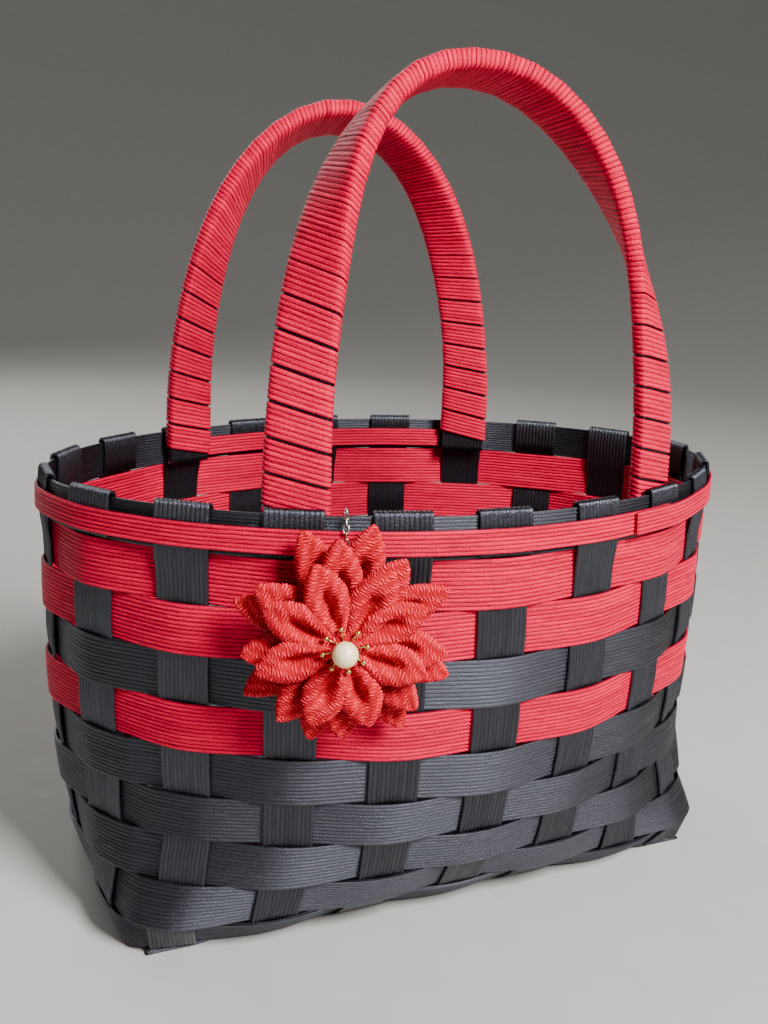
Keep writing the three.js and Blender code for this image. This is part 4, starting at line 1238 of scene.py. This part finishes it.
class BagStamens(bpy.types.Operator):
    """Set eight beaded wires round the pearl"""

    bl_idname = "basket.stamens"
    bl_label = "Stamens"

    def execute(self, context):
        bm = bmesh.new()
        middle = STAMEN_HEIGHT + STAMEN_HUB_DEPTH / 2
        bmesh.ops.create_cone(bm, cap_ends=True, segments=HUB_SIDES, radius1=STAMEN_HUB,
                              radius2=STAMEN_HUB_TOP, depth=STAMEN_HUB_DEPTH,
                              matrix=Matrix.Translation((0, 0, middle)))
        root = Vector((STAMEN_ROOT, 0, middle))
        tip = Vector((STAMEN_REACH, 0, STAMEN_HEIGHT + STAMEN_RISE))
        lie = (tip - root).to_track_quat("Z", "Y").to_matrix().to_4x4()
        for i in range(STAMENS):
            turn = Matrix.Rotation(2 * math.pi * (i + STAMEN_TURN) / STAMENS, 4, "Z")
            place = turn @ Matrix.Translation((root + tip) / 2) @ lie
            bmesh.ops.create_cone(bm, cap_ends=True, segments=STAMEN_SIDES, radius1=STAMEN_WIRE,
                                  radius2=STAMEN_WIRE_TIP, depth=(tip - root).length, matrix=place)
            place = turn @ Matrix.Translation(tip)
            bmesh.ops.create_icosphere(bm, subdivisions=BEAD_FINENESS, radius=STAMEN_BEAD, matrix=place)
        dress(flower_piece("beaded_stamens", bm), "flower", "pale_gold", "stamens")
        return {"FINISHED"}


class BagPearl(bpy.types.Operator):
    """Turn the pearl at the middle of the flower"""

    bl_idname = "basket.pearl"
    bl_label = "Pearl"

    def execute(self, context):
        bm = bmesh.new()
        bmesh.ops.create_uvsphere(bm, u_segments=PEARL_SIDES, v_segments=PEARL_RINGS, radius=PEARL_RADIUS,
                                  matrix=Matrix.Translation((0, 0, PEARL_HEIGHT)))
        dress(flower_piece("cream_pearl", bm), "flower", "pearl_bead", "pearl")
        return {"FINISHED"}


def soft_light(name, place, size, power, colour):
    """A square area light that faces the bag."""
    data = bpy.data.lights.new(name, "AREA")
    data.size = size
    data.energy = power
    data.color = colour
    light = bpy.data.objects.new(name, data)
    bpy.context.scene.collection.objects.link(light)
    light.location = place
    light.rotation_euler = (Vector(LIT_PLACE) - light.location).to_track_quat("-Z", "Y").to_euler()


class BagStage(bpy.types.Operator):
    """Set the camera, a pale paper sweep and soft studio lights"""

    bl_idname = "basket.stage"
    bl_label = "Stage"

    def execute(self, context):
        scene = context.scene
        data = bpy.data.cameras.new("photo_camera")
        data.sensor_fit = "HORIZONTAL"
        data.sensor_width = SENSOR_WIDTH
        data.lens = SENSOR_WIDTH * FOCAL_LENGTH / PHOTO_WIDTH
        camera = bpy.data.objects.new("photo_camera", data)
        scene.collection.objects.link(camera)
        turn = Vector(CAMERA_TURN)
        view = Matrix.Rotation(turn.length, 3, turn.normalized())
        axes = Matrix((view[0], -view[1], -view[2])).transposed().to_4x4()
        camera.matrix_world = Matrix.Translation(Vector(CAMERA_PLACE) * MM) @ axes
        scene.camera = camera
        # A round sweep: a flat floor that curves up to a wall on every side
        section = [(SWEEP_RADIUS * step / FLOOR_STEPS, 0) for step in range(FLOOR_STEPS + 1)]
        for step in range(1, SWEEP_STEPS + 1):
            angle = math.pi / 2 * step / SWEEP_STEPS
            radius = SWEEP_RADIUS + SWEEP_CURVE * math.sin(angle)
            section.append((radius, SWEEP_CURVE * (1 - math.cos(angle))))
        section.append((SWEEP_RADIUS + SWEEP_CURVE, SWEEP_HEIGHT))
        bm = revolve(section, SWEEP_SIDES)
        bmesh.ops.reverse_faces(bm, faces=bm.faces)
        floor = new_piece("paper_sweep", bm)
        floor.data.materials.append(studio_paper("pale_studio_paper"))
        for name, light in LIGHTS.items():
            power = getattr(scene.bag_studio, f"{name}_power")
            soft_light(f"{name}_softbox", light["place"], light["size"], power, light["colour"])
        world = bpy.data.worlds.new("soft_room")
        scene.world = world
        world.use_nodes = True
        background = world.node_tree.nodes["Background"]
        background.inputs["Color"].default_value = linear("#dfe3e6")
        background.inputs["Strength"].default_value = scene.bag_studio.room_light
        return {"FINISHED"}


class BagPanel(bpy.types.Panel):
    """Steps of the bag in the sidebar, with the settings under them"""

    bl_idname = "VIEW3D_PT_basket_bag"
    bl_label = "Basket bag"
    bl_space_type = "VIEW_3D"
    bl_region_type = "UI"
    bl_category = "Basket bag"

    def draw(self, context):
        for step in STEPS:
            self.layout.operator(step.bl_idname)
        for name, group in SETTINGS.items():
            for setting in group.__annotations__:
                self.layout.prop(getattr(context.scene, name), setting)


STEPS = (
    BagStage, BagStakes, BagBase, BagRows, BagRim, BagHandlesStep, BagChain, BagPetals, BagStamens, BagPearl,
)
SETTINGS = {
    "bag_bands": BagBands, "bag_handles": BagHandles, "bag_flower": BagFlower, "bag_studio": BagStudio,
}


def register():
    for one in (*SETTINGS.values(), *STEPS, BagPanel):
        bpy.utils.register_class(one)
    for name, group in SETTINGS.items():
        setattr(bpy.types.Scene, name, bpy.props.PointerProperty(type=group))


def unregister():
    for name in SETTINGS:
        delattr(bpy.types.Scene, name)
    for one in (BagPanel, *reversed(STEPS), *SETTINGS.values()):
        bpy.utils.unregister_class(one)


def main():
    register()
    for step in STEPS:
        group, name = step.bl_idname.split(".")
        getattr(getattr(bpy.ops, group), name)()


if __name__ == "__main__":
    main()
